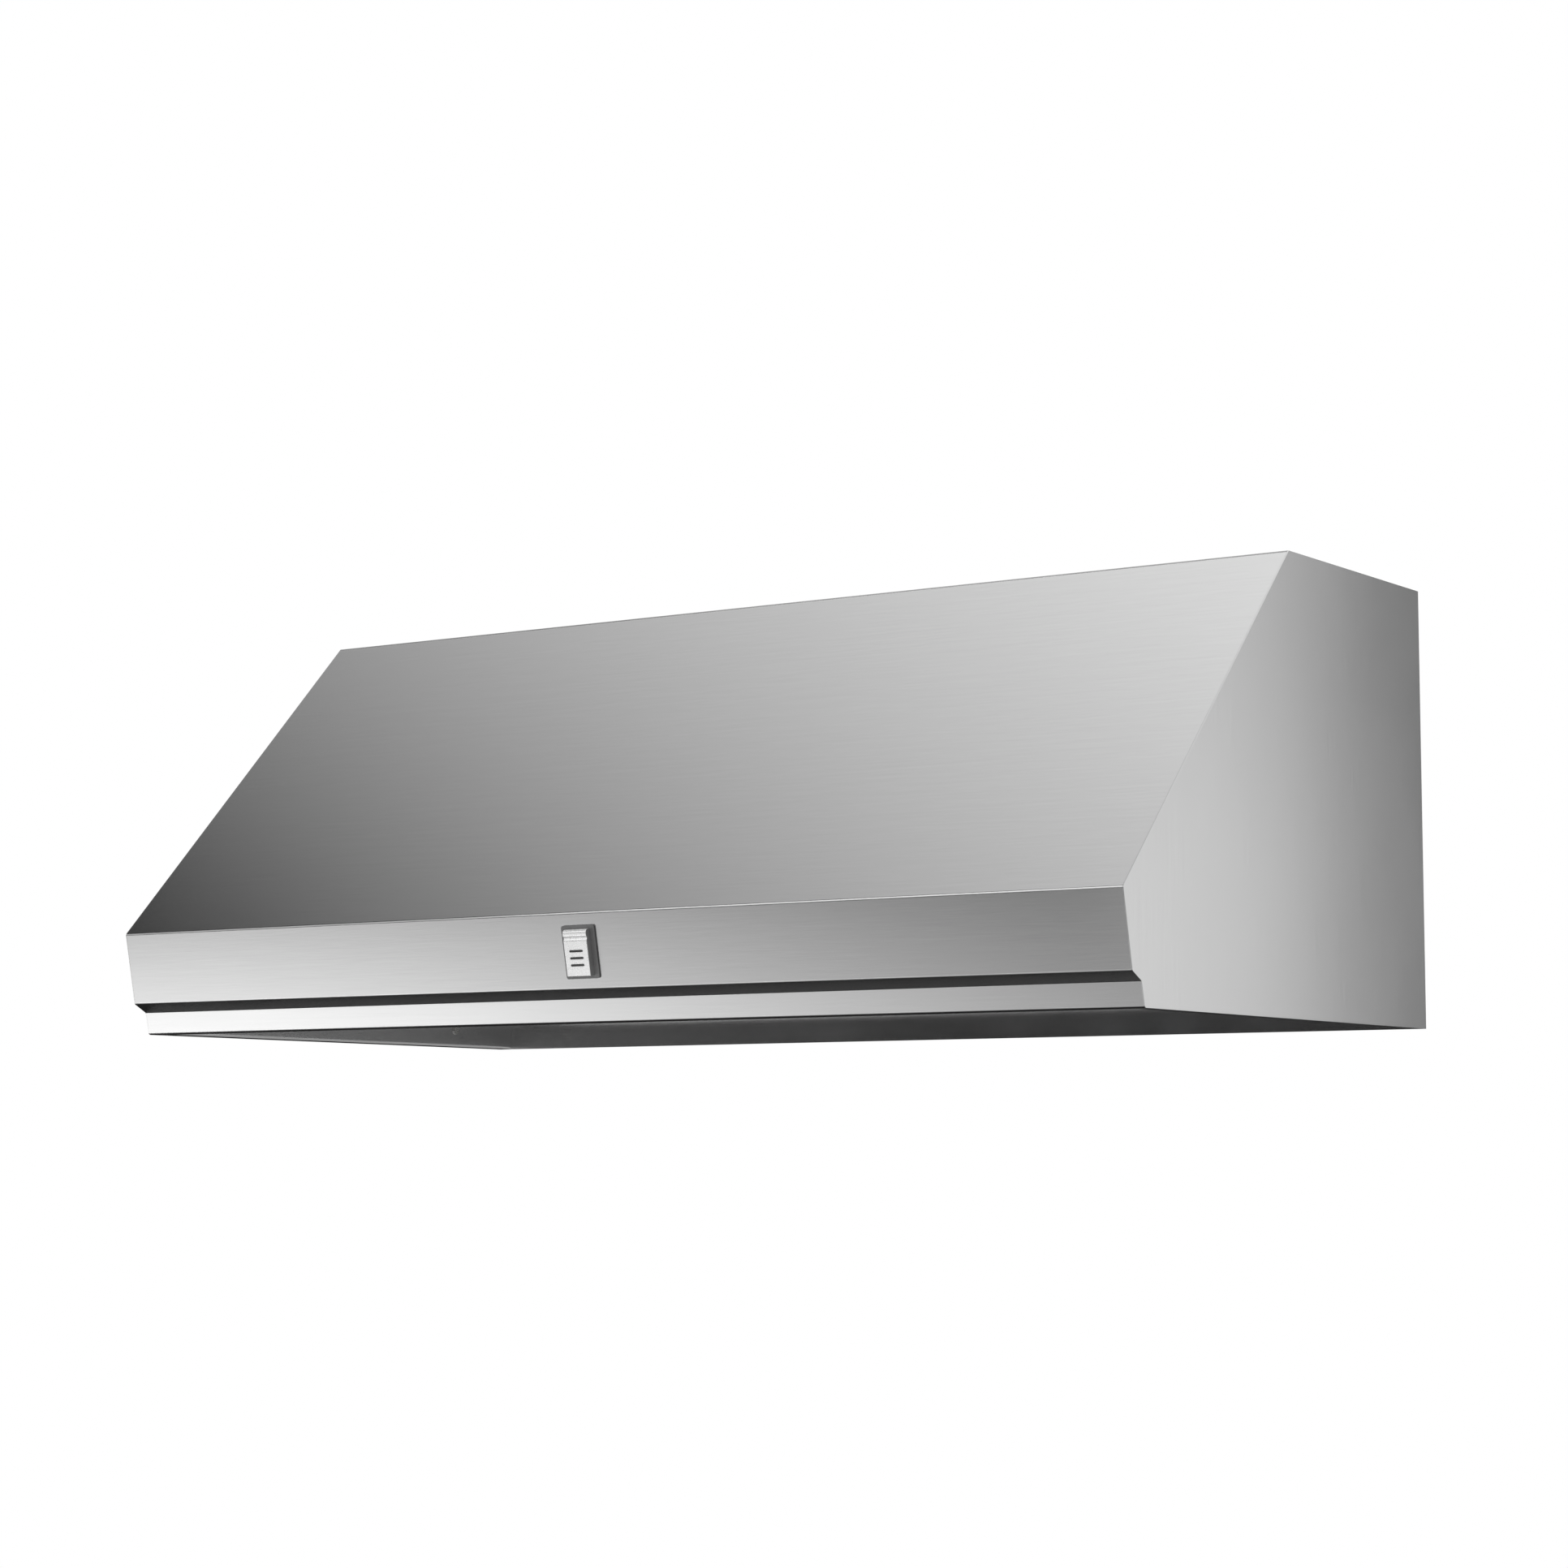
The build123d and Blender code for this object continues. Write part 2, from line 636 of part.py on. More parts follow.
def damper_flap(sign):
    """Half disc hung under the axle by rolled knuckles; sign -1 is the front one."""
    disc = Cylinder(flap_r, flap_thickness) - Box(2 * flap_r + 2, 1.0, 2 * flap_thickness)
    half = Pos(0, sign * flap_r / 2, 0) * Box(2 * flap_r + 2, flap_r, 2 * flap_thickness)
    plate = Pos(0, 0, -flap_offset - flap_thickness / 2) * (disc & half)
    offsets = (-0.72, -0.24, 0.24, 0.72) if sign < 0 else (-0.56, -0.08, 0.4)
    for ratio in offsets:
        x = ratio * flap_r
        knuckle = Rot(0, 90, 0) * Cylinder(knuckle_r, 14)
        lug = Pos(0, sign * (knuckle_r / 2 + 0.4), -flap_offset / 2 - 0.25)
        knuckle += lug * Box(14, knuckle_r - 0.8, flap_offset + 0.5)
        plate += Pos(x, 0, 0) * knuckle
    plate -= Rot(0, 90, 0) * Cylinder(axle_r + running, 3 * flap_r)
    return Pos(0, 0, -axle_drop) * plate


def hanger_v():
    return (duct_v - 60, duct_v + 60)


def blower_hangers():
    """Straps from the plenum's sides up to feet under the top panel."""
    straps = []
    for sign in (-1, 1):
        for v in hanger_v():
            a, b = sorted((sign * plenum_x, sign * (plenum_x + 1.5)))
            strap = block(a, b, v - 15, v + 15, plenum_foot_h + 6, roof_h)
            a, b = sorted((sign * plenum_x, sign * (plenum_x + 27)))
            strap += block(a, b, v - 15, v + 15, roof_h - 1.5, roof_h)
            strap -= upright(sign * (plenum_x + 14), v, roof_h - 3, 2.5, 6)
            straps.append(strap)
    return Compound(children=straps)


def capacitor_place():
    return row(-(duct_r + plenum_x) / 2 - 3, duct_v, collar_foot_h + 19.0)


def motor_capacitor():
    body = Pos(*capacitor_place()) * Rot(90, 0, 0) * Cylinder(17.0, 78.0)
    return fillet(body.edges().filter_by(GeomType.CIRCLE), 1.5)


def retaining_clips():
    """Saddle for the capacitor and saddles for the cables on the slope."""
    x, y, z = capacitor_place()
    saddle = Pos(x, y, z - 9.5) * Box(38, 20, 19.0)
    saddle += Pos(x, y, z) * Rot(90, 0, 0) * Cylinder(19.0, 20)
    saddle -= Pos(x, y, z) * Rot(90, 0, 0) * Cylinder(17.0, 30)
    clips = [saddle]
    for cable_x, reach in ((main_cable_x(), 0.62), (motor_cable_x(), 0.3)):
        for part in (0.45, 0.95):
            place = slope_place(cable_x, 150 + part * reach * slope_length() * 0.75)
            clip = Pos(0, 0, 6.5) * Box(14, 12, 13)
            clip -= Pos(0, 0, cable_offset) * Rot(90, 0, 0) * Cylinder(cable_r, 20)
            clips.append(place * clip)
    return Compound(children=clips)


def slope_length():
    return hypot(top_v, hood_height - nose_height)


def slope_place(x, distance):
    """Frame on the slope's inner face, Z pointing into the hood and Y up the slope."""
    v = distance * cos(slope_angle) + sheet * sin(slope_angle)
    h = nose_height + distance * sin(slope_angle) - sheet * cos(slope_angle)
    inward = (0, sin(slope_angle), -cos(slope_angle))
    return Plane(origin=row(x, v, h), x_dir=(-1, 0, 0), z_dir=inward).location


def slope_line_h(v):
    """Height of the cable run that follows the slope's inner face, at v."""
    rise = (sheet + cable_offset) / cos(slope_angle)
    return nose_height + v * (hood_height - nose_height) / top_v - rise


def main_cable_x():
    return box_x * 0.85


def motor_cable_x():
    return 34.0


def wire_harness():
    """Mains cable to the junction box, motor cable, and one lamp lead each way."""
    start_v = (box_v0 + box_v1) / 2
    turn_h = roof_h - 28
    turn_v = (turn_h - slope_line_h(0)) * top_v / (hood_height - nose_height)
    x = main_cable_x()
    end_x = junction_x() + 45
    mains = pipe([row(x, start_v, box_top_h), row(x, start_v, slope_line_h(start_v)),
                  row(x, turn_v, turn_h), row(end_x, turn_v, turn_h),
                  row(end_x, junction_v(), turn_h)], cable_r, 12.0)
    cover_h = blower_h + 13
    cover_v = (cover_h - slope_line_h(0)) * top_v / (hood_height - nose_height)
    x = motor_cable_x()
    motor = pipe([row(x, start_v, box_top_h), row(x, start_v, slope_line_h(start_v)),
                  row(x, cover_v, cover_h), row(x, blower_v - motor_r - 6, cover_h)], cable_r, 12.0)
    leads = []
    lead_h = strip_height + sheet + 2.5
    lead_v = strip_mid_v - lamp_r - 8
    for sign in (-1, 1):
        end = sign * lamp_x[3]
        lead = pipe([row(sign * box_x, lead_v, lead_h), row(end, lead_v, lead_h),
                     row(end, strip_mid_v - lamp_r + gap, lead_h)], 2.5, 6.0)
        stub = Pos(*row(sign * lamp_x[2], strip_mid_v - lamp_r - 3.85, lead_h)) * Rot(90, 0, 0)
        leads.append(lead + stub * Cylinder(2.2, 8.3))
    return Compound(children=[mains, motor] + leads)


def junction_x():
    return plenum_x + 40


def junction_v():
    return hood_depth - sheet - 80


def junction_top():
    """Just under the bend of the back panel's flange."""
    return roof_h - sheet - bend


def junction_box():
    """Wiring box under the rear flange, open at the bottom for its cover."""
    x0, v0 = junction_x(), junction_v()
    top = junction_top()
    box = block(x0, x0 + 90, v0, v0 + 80, top - 64, top)
    box -= block(x0 + 1, x0 + 89, v0 + 1, v0 + 79, top - 65, top - 1)
    hole = Pos(*row(x0 + 45, v0, roof_h - 28)) * Rot(90, 0, 0) * Cylinder(7.0, 6)
    return box - hole


def junction_cover():
    x0, v0 = junction_x(), junction_v()
    top = junction_top()
    cover = block(x0, x0 + 90, v0, v0 + 80, top - 65, top - 64)
    for x in (x0 + 8, x0 + 82):
        cover += upright(x, v0 + 40, top - 67, 3.5, 2)
    return cover


def terminal_block():
    x0, v0 = junction_x(), junction_v()
    top = junction_top()
    base = block(x0 + 18, x0 + 72, v0 + 45, v0 + 69, top - 19, top - 1)
    for step in range(4):
        base -= upright(x0 + 26.4 + step * 12.4, v0 + 57, top - 20, 3.2, 7)
    return base


def cable_bushings():
    """Rubber grommets where cables enter the junction box and leave the control box."""
    turn_h = roof_h - 28
    ring = Cylinder(7.0, 1.0) + Pos(0, 0, 1.5) * Cylinder(9.5, 2.0)
    ring -= Cylinder(cable_r, 10)
    wall = Plane(origin=row(junction_x() + 45, junction_v() + 0.5, turn_h), z_dir=(0, -1, 0)).location
    bushings = [wall * ring]
    start_v = (box_v0 + box_v1) / 2
    for x in (main_cable_x(), motor_cable_x()):
        collar = upright(x, start_v, box_top_h, 7.5, 2.0) - upright(x, start_v, box_top_h - 1, cable_r, 4)
        bushings.append(collar)
    return Compound(children=bushings)


def control_box():
    """Steel cover over the board and the lamp supply, open at the bottom on the strip."""
    foot = strip_height + sheet
    box = block(-box_x, box_x, box_v0, box_v1, foot, box_top_h)
    box = fillet(box.edges().filter_by(Axis.Z), 3.0)
    return box - block(-box_x + 1, box_x - 1, box_v0 + 1, box_v1 - 1, foot - 1, box_top_h - 1)


def control_board():
    """Circuit board on four feet with its larger components."""
    foot = strip_height + sheet
    board = block(10, box_x - 12, box_v0 + 5, box_v1 - 5, foot + 6, foot + 7.6)
    for x in (18, box_x - 20):
        for v in (box_v0 + 9, box_v1 - 9):
            board += upright(x, v, foot, 2.5, 6.5)
    mid = (box_v0 + box_v1) / 2
    board += block(30, 48, mid - 8, mid + 8, foot + 7, foot + 22)
    board += block(60, 82, mid - 10, mid + 10, foot + 7, foot + 19)
    return board + upright(98, mid, foot + 7, 6.0, 16)


def lamp_supply():
    foot = strip_height + sheet
    body = block(-box_x + 14, -12, box_v0 + 7, box_v1 - 7, foot, foot + 26)
    return fillet(body.edges().filter_by(Axis.Z), 3.0)


def knob_plates():
    """Round dial plates with a ring of index marks."""
    plates = []
    for x in knob_x:
        plate = upright(x, strip_mid_v, strip_height - 1, 28.0, 1.0)
        plate -= upright(x, strip_mid_v, strip_height - 2, 5.0, 3)
        for mark in range(10):
            place = Pos(*row(x, strip_mid_v, strip_height - 1)) * Rot(0, 0, 225 - 30 * mark)
            plate -= place * Pos(23.5, 0, 0) * Box(5, 1.2, 0.6)
        plates.append(plate)
    return Compound(children=plates)


def rotary_switch(x):
    """Switch can above the strip with its bushing through the strip."""
    base = strip_height + sheet
    body = upright(x, strip_mid_v, base, 12.5, 15.0)
    body += upright(x, strip_mid_v, strip_height - 4.0, 5.0, 4.0 + sheet)
    return body - upright(x, strip_mid_v, strip_height - 6, shaft_small() + running, 19.2)


def shaft_small():
    return 3.0


def switch_nuts():
    """Thin nuts that hold the switches to the strip."""
    nuts = []
    for x in knob_x:
        nut = extrude(RegularPolygon(7.5, 6), 2.4)
        nut = Pos(*row(x, strip_mid_v, strip_height - 3.4)) * nut
        nuts.append(nut - upright(x, strip_mid_v, strip_height - 5, 5.0, 6))
    return nuts


def switch_shaft(x):
    low = knob_top_h - knob_height + 4
    return upright(x, strip_mid_v, low, shaft_small(), strip_height + 12 - low)


def control_knob(x):
    """Turned knob with a tapered grip, a pointer groove and a pocket over the nut."""
    low = knob_top_h - knob_height
    profile = Polyline((0, 0), (knob_r - 3.5, 0), (knob_r - 2.2, 1.3), (knob_r - 1.4, knob_height - 7),
                       (knob_r, knob_height - 5), (knob_r, knob_height), (10.5, knob_height),
                       (10.5, knob_height - 5), (0, knob_height - 5), close=True)
    body = revolve(Plane.XZ * make_face(profile), Axis.Z)
    for n in range(18):
        flute = Rot(0, 0, 20 * n + 10) * Pos(knob_r - 1.1, 0, (knob_height - 12) / 2)
        body -= flute * Cylinder(1.5, knob_height - 7)
    body -= Pos(0, knob_r / 2 - 1, 0) * Box(1.6, knob_r * 0.6, 1.4)
    body = Pos(*row(x, strip_mid_v, low)) * body
    return body - switch_shaft(x)


def lamp_housings():
    cans = []
    for x in lamp_x:
        can = upright(x, strip_mid_v, strip_height, lamp_r - gap, lamp_height)
        can -= upright(x, strip_mid_v, strip_height - 1, lamp_r - gap - 1.2, lamp_height - 0.2)
        for turn in range(8):
            fin = Pos(*row(x, strip_mid_v, strip_height + lamp_height + 3)) * Rot(0, 0, 22.5 * turn)
            can += fin * Box(2 * lamp_r - 10, 1.2, 6)
        cans.append(can)
    return Compound(children=cans)


def lamp_bezels():
    rings = []
    for x in lamp_x:
        ring = upright(x, strip_mid_v, strip_height - 2, lamp_r + 6, 2.0)
        ring = chamfer(ring.edges().filter_by(GeomType.CIRCLE).group_by(Axis.Z)[0], 0.8)
        rings.append(ring - upright(x, strip_mid_v, strip_height - 3, lamp_r - 3, 6))
    return Compound(children=rings)


def lamp_lenses():
    return Compound(children=[upright(x, strip_mid_v, strip_height - 2, lamp_r - 3, 2.0) for x in lamp_x])


def led_boards():
    boards = []
    for x in lamp_x:
        top = strip_height + lamp_height - 1.2
        board = upright(x, strip_mid_v, top - 1.6, lamp_r - 4, 1.6)
        board += upright(x, strip_mid_v, top - 3.4, 7.0, 2.0)
        boards.append(board)
    return Compound(children=boards)


def band_place(distance):
    """Frame on the band, distance down from the nose: X across, Y up the band, Z outward."""
    length = hypot(band_foot_v, nose_height - band_foot_h)
    down_v, down_h = band_foot_v / length, (band_foot_h - nose_height) / length
    origin = row(0, down_v * distance, nose_height + down_h * distance)
    return Plane(origin=origin, x_dir=(1, 0, 0), z_dir=(0, down_h, -down_v)).location


def badge_distance():
    return 0.515 * hypot(band_foot_v, nose_height - band_foot_h)


def badge_base():
    base = Pos(0, 0, 0.9) * Box(badge_width, badge_height, 1.8)
    base = fillet(base.edges().filter_by(Axis.Z), 2.0)
    return band_place(badge_distance()) * base


def badge_block():
    """Raised block with a rolled upper edge over a flat face."""
    width, height = badge_width - 10, badge_height - 7
    block_part = Pos(0, 0, 1.8 + badge_block_depth / 2) * Box(width, height, badge_block_depth)
    top_edges = block_part.edges().filter_by(Axis.X).sort_by(Axis.Y)[-2:]
    block_part = fillet(top_edges.sort_by(Axis.Z)[-1], badge_block_depth * 0.55)
    roll = Pos(0, height / 2 - 8.3, 1.8 + badge_block_depth) * Rot(0, 90, 0) * Cylinder(1.1, width + 2)
    return band_place(badge_distance()) * (block_part - roll)


def badge_emblem():
    """Three plain bars on the block's face."""
    bars = []
    for n, length in enumerate((16.0, 16.0, 16.0)):
        bars.append(Pos(0, 2 - 7.0 * n, 1.8 + badge_block_depth + 0.3) * Box(length, 2.2, 0.6))
    return Compound(children=[band_place(badge_distance()) * bar for bar in bars])


def save(name, shape):
    shape.label = name
    export_step(shape, f"parts/{name}.step")


save("front_canopy", front_canopy())
save("side_panel_left", side_panel(-1))
save("side_panel_right", side_panel(1))
save("back_panel", back_panel())
save("top_panel", top_panel())
save("side_liner_left", side_liner(-1))
save("side_liner_right", side_liner(1))
save("control_strip", control_strip())
save("rear_filter_rail", rear_filter_rail())
save("filter_magnets", filter_magnets())
for number, centre_x in enumerate(filter_centres(), start=1):
    save(f"filter_frame_{number}", filter_frame(centre_x))
    save(f"filter_baffles_{number}", filter_baffles(centre_x))
    save(f"filter_handle_{number}", filter_handle(centre_x))
save("grease_trough", grease_trough())
save("trough_clips", trough_clips())
save("blower_scroll_left", blower_scroll(-1))
save("blower_scroll_right", blower_scroll(1))
save("inlet_rings", inlet_rings())
save("impeller_left", impeller(-1))
save("impeller_right", impeller(1))
save("motor_shell", motor_shell())
save("motor_stator", motor_stator())
save("motor_rotor", motor_rotor())
save("motor_shaft", motor_shaft())
save("motor_cradle", motor_cradle())
save("motor_capacitor", motor_capacitor())
save("retaining_clips", retaining_clips())
save("blower_hangers", blower_hangers())
save("outlet_plenum", outlet_plenum())
save("duct_collar", duct_collar())
save("damper_axle", damper_axle())
save("damper_flap_front", damper_flap(-1))
save("damper_flap_rear", damper_flap(1))
save("junction_box", junction_box())
save("junction_cover", junction_cover())
save("terminal_block", terminal_block())
save("cable_bushings", cable_bushings())
save("wire_harness", wire_harness())
save("control_box", control_box())
save("control_electronics", Compound(children=[control_board(), lamp_supply()]))
save("knob_plates", knob_plates())
save("rotary_switches", Compound(children=[rotary_switch(x) for x in knob_x]))
save("fan_switch_shaft", switch_shaft(knob_x[0]))
save("light_switch_shaft", switch_shaft(knob_x[1]))
save("fan_knob", control_knob(knob_x[0]))
save("light_knob", control_knob(knob_x[1]))
save("lamp_housings", lamp_housings())
save("lamp_bezels", lamp_bezels())
save("lamp_lenses", lamp_lenses())
save("led_boards", led_boards())
save("badge_base", badge_base())
save("badge_block", badge_block())
save("badge_emblem", badge_emblem())
save("assembly_screws", assembly_screws())
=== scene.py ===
"""Under cabinet range hood: skins, filters, lamps, controls, badge and finishes on its frame."""

import json
from math import atan2, cos, pi, radians, sin, tan

import bmesh
import bpy
from bpy.props import FloatProperty, FloatVectorProperty, IntProperty, PointerProperty
from mathutils import Matrix, Vector


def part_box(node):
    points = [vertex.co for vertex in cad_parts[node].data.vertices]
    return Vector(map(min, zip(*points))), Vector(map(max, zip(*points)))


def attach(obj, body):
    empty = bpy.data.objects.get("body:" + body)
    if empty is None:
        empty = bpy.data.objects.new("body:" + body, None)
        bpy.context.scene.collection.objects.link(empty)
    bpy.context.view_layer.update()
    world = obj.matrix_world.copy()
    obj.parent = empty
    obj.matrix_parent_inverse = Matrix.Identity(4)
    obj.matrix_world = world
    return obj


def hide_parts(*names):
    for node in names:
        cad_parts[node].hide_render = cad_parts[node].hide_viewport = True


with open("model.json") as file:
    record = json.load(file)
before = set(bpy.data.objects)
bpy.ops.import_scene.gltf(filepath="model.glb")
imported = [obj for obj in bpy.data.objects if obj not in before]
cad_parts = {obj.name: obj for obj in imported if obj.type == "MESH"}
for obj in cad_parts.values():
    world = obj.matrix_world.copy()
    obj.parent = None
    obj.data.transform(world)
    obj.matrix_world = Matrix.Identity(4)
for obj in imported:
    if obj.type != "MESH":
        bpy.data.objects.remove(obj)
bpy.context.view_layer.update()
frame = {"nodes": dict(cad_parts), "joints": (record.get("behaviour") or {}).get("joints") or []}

bl_info = {
    "name": "Under Cabinet Range Hood",
    "version": (1, 0, 0),
    "blender": (4, 5, 0),
    "location": "3D View > Sidebar > Range Hood",
    "description": "Builds the skins, filters, lamps, controls, badge and finishes of a range hood",
    "category": "Object",
}

SHARP_ANGLE = radians(35)
MM = 0.001
TINY = 1e-6

JOINTS = {joint["name"]: joint for joint in frame["joints"]}
CANOPY_LOW, CANOPY_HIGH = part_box("front_canopy")
FRONT_Y, RIM_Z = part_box("side_panel_left")[0].yz


# ---------------- settings


def length(name, description, millimetres):
    """A length that a user may change."""
    return FloatProperty(name=name, description=description, default=millimetres * MM,
                         unit="LENGTH", precision=5)


def tilt(name, description, degrees):
    """An angle that a user may change."""
    return FloatProperty(name=name, description=description, default=radians(degrees),
                         subtype="ANGLE")


def whole(name, description, number, least=1):
    """A whole number that a user may change."""
    return IntProperty(name=name, description=description, default=number, min=least)


def colour(name, description, value):
    """A linear colour, the same in its three channels unless three are given."""
    rgb = value if isinstance(value, tuple) else (value, value, value)
    return FloatVectorProperty(name=name, description=description, default=rgb, subtype="COLOR",
                               min=0.0, max=1.0)


class SheetSettings(bpy.types.PropertyGroup):
    """Section of the folded front and the thickness of its sheet"""

    sheet: length("Sheet", "Thickness of the skins", 1.2)
    bend: length("Bend", "Radius inside a fold", 1.8)
    flange: length("Flange", "Depth of the folded top flange", 22)
    nose: length("Nose height", "Height of the fold between slope and band, above the rim", 106.8)
    band_foot_v: length("Band foot setback", "How far the band leans in at its foot", 15.5)
    band_foot_h: length("Band foot height", "Height of the band's foot above the rim", 32.4)
    recess_v: length("Recess setback", "Depth of the shadow line under the band", 32.4)
    recess_h: length("Recess height", "Height of the shadow line's foot", 23.7)
    lip_v: length("Lip setback", "Where the lip meets the rim", 38)
    hem_width: length("Hem width", "Flat part of the bottom hem", 16)
    hem_height: length("Hem height", "Upturned part of the bottom hem", 26)
    rim_bevel: length("Rim bevel", "Broken edge on cut sheet", 0.25)


class BadgeSettings(bpy.types.PropertyGroup):
    """Plain badge on the middle of the band"""

    base_depth: length("Base depth", "Thickness of the dark base", 1.8)
    base_corner: length("Base corner", "Corner radius of the base", 2)
    block_width: length("Block width", "Width of the bright block", 30)
    block_height: length("Block height", "Height of the bright block", 46)
    block_depth: length("Block depth", "How far the block stands off its base", 6)
    roll: length("Roll", "Radius of the block's rolled top edge", 3.3)
    groove_drop: length("Groove drop", "Distance of the groove below the top", 8.3)
    groove: length("Groove", "Half width of the groove", 2.2)
    groove_depth: length("Groove depth", "Depth of the groove", 1.4)
    # the dark cheeks are painted shade on the bright block's side faces
    shade_slice: length("Cheek", "Thickness of the dark cheeks beside the bright block", 0.8)
    bar_length: length("Bar length", "Length of each bar of the mark", 16)
    bar_width: length("Bar width", "Width of each bar of the mark", 2.2)
    bar_depth: length("Bar depth", "How far the bars stand off the block", 0.58)
    bar_pitch: length("Bar pitch", "Distance from bar to bar", 7)
    first_bar: length("First bar", "Height of the first bar over the middle of the block", 2)
    bar_count: whole("Bars", "Number of bars in the mark", 3)


class FilterSettings(bpy.types.PropertyGroup):
    """Baffle filters that hook on the rear bead"""

    incline: tilt("Incline", "Slope of the filters", 7.8)
    base: length("Base", "Height of the filter's underside over the hinge line", 3.3)
    thickness: length("Thickness", "Depth of the channel frame", 16)
    skin: length("Skin", "Sheet of the frame and the baffles", 0.8)
    lip: length("Lip", "Width of the frame's lips", 14)
    reach: length("Reach", "From the hinge line to the front edge", 392.03)
    corner: length("Corner", "Radius of the frame's corners", 3)
    fold: length("Fold", "Rounding of the frame's folded edges", 1.4)
    bead: length("Bead", "Radius of the bead behind the hook", 3)
    hook_sheet: length("Hook sheet", "Thickness of the rear hook", 1.2)
    hook_drop: length("Hook drop", "How far the hook reaches below the hinge line", 0.8)
    hook_gap: length("Hook gap", "Distance of the hook from the filter's sides", 15)
    end_gap: length("End gap", "Play of the baffles along the frame", 0.6)
    baffle_pitch: length("Baffle pitch", "Distance from baffle to baffle", 42)
    baffle_width: length("Baffle width", "Width of each baffle", 32)
    baffle_leg: length("Baffle leg", "Depth of each baffle's legs", 9)
    baffle_bend: length("Baffle bend", "Radius of a baffle's folds", 1.6)


class LampSettings(bpy.types.PropertyGroup):
    """Four lamps in the control strip"""

    inner_ratio: FloatProperty(name="Inner ratio", default=0.4, min=0.1, max=0.9,
                               description="Inner lamp place over outer lamp place")
    rim: length("Rim", "Width of the trim ring", 9)
    ring_count: whole("Rings", "Number of rings pressed in the lens", 7)
    ring_depth: length("Ring depth", "Depth of the lens rings", 0.3)


class ControlSettings(bpy.types.PropertyGroup):
    """Two knobs and their dial plates"""

    flute_count: whole("Flutes", "Number of flutes round a knob", 18, 6)
    flute_depth: length("Flute depth", "Depth of the flutes", 1.2)
    skirt: length("Skirt", "Height of a knob's skirt", 5)
    waist: length("Waist", "How far the grip stands in from the skirt", 1.4)
    dish: length("Dish", "Depth of the dished face", 0.4)
    pocket: length("Pocket", "Radius of the pocket over the nut", 10.5)
    bore: length("Bore", "Radius of the hole for the shaft", 3.05)
    pointer: length("Pointer", "Width of the pointer line", 1.6)
    plate_bore: length("Plate bore", "Radius of the hole in a dial plate", 5)
    mark_count: whole("Marks", "Index marks round a dial", 10, 2)
    first_mark: tilt("First mark", "Place of the first mark, round from the right", 225)
    sweep: tilt("Sweep", "Turn from the first mark to the last", 270)
    mark_length: length("Mark length", "Length of each index mark", 5)
    mark_width: length("Mark width", "Width of each index mark", 1.2)
    mark_inset: length("Mark inset", "Distance of the marks inside the plate's edge", 2)


class FinishSettings(bpy.types.PropertyGroup):
    """Colours of the main finishes"""

    steel: colour("Satin steel", "Brushed skins", 0.6)
    liner_steel: colour("Liner steel", "Strip and liners", 0.56)
    zinc: colour("Zinc", "Galvanised sheet", (0.56, 0.58, 0.6))
    aluminium: colour("Aluminium", "Flaps, lamp cans and knobs", (0.68, 0.69, 0.7))
    black_paint: colour("Black paint", "Motor and dial plates", 0.03)
    badge_face: colour("Badge face", "Bright face of the badge", 0.93)
    badge_base: colour("Badge base", "Dark base of the badge", 0.13)


class StudioSettings(bpy.types.PropertyGroup):
    """Floor, softboxes and camera"""

    floor_drop: length("Floor drop", "Distance of the floor below the rim", 1700)
    floor_radius: length("Floor radius", "Radius of the floor", 6000)
    camera_place: FloatVectorProperty(name="Camera place", description="Where the camera stands",
                                      default=(2.139, -3.2973, -0.5952), subtype="TRANSLATION",
                                      unit="LENGTH")
    camera_yaw: tilt("Camera yaw", "Turn to the left of straight back", 34.04)
    camera_pitch: tilt("Camera pitch", "Tilt above the horizon", 6.03)
    lens: FloatProperty(name="Lens", description="Focal length", default=82.4, unit="CAMERA")


class RangeHoodSettings(bpy.types.PropertyGroup):
    """All sizes and colours of the range hood"""

    sheets: PointerProperty(type=SheetSettings, name="Sheets")
    badge: PointerProperty(type=BadgeSettings, name="Badge")
    filters: PointerProperty(type=FilterSettings, name="Filters")
    lamps: PointerProperty(type=LampSettings, name="Lamps")
    controls: PointerProperty(type=ControlSettings, name="Controls")
    finishes: PointerProperty(type=FinishSettings, name="Finishes")
    studio: PointerProperty(type=StudioSettings, name="Studio")


def settings():
    """The values of the open scene."""
    return bpy.context.scene.range_hood


# ---------------- places


def place(x, v, h):
    """Point given across, back from the nose and up from the rim."""
    return Vector((x, FRONT_Y + v, RIM_Z + h))


def turned(origin, x_axis, z_axis):
    """Matrix of a local frame with these axes."""
    x = Vector(x_axis).normalized()
    z = Vector(z_axis).normalized()
    return Matrix.Translation(origin) @ Matrix((x, z.cross(x), z)).transposed().to_4x4()


def front_folds(sizes):
    """Side view of the front's four folds: nose, band foot, shadow line foot and lip."""
    return [(0, sizes.nose), (sizes.band_foot_v, sizes.band_foot_h),
            (sizes.recess_v, sizes.recess_h), (sizes.lip_v, 0)]


# ---------------- mesh tools


def linked_object(name, bm, material):
    """Object at the origin that holds a finished bmesh in one material."""
    mesh = bpy.data.meshes.new(name)
    bm.to_mesh(mesh)
    bm.free()
    mesh.materials.append(material)
    made = bpy.data.objects.new(name, mesh)
    bpy.context.scene.collection.objects.link(made)
    return made


def add_piece(name, bm, finish, body="hood", replaced=()):
    """Makes a bmesh a shaded piece that rides on a body and takes its slot's finish."""
    piece = linked_object(name, bm, FINISHES[finish])
    for polygon in piece.data.polygons:
        polygon.use_smooth = True
    piece.data.set_sharp_from_angle(angle=SHARP_ANGLE)
    piece.modifiers.new("flat_faces", "WEIGHTED_NORMAL").keep_sharp = True
    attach(piece, body)
    if replaced:
        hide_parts(*replaced)


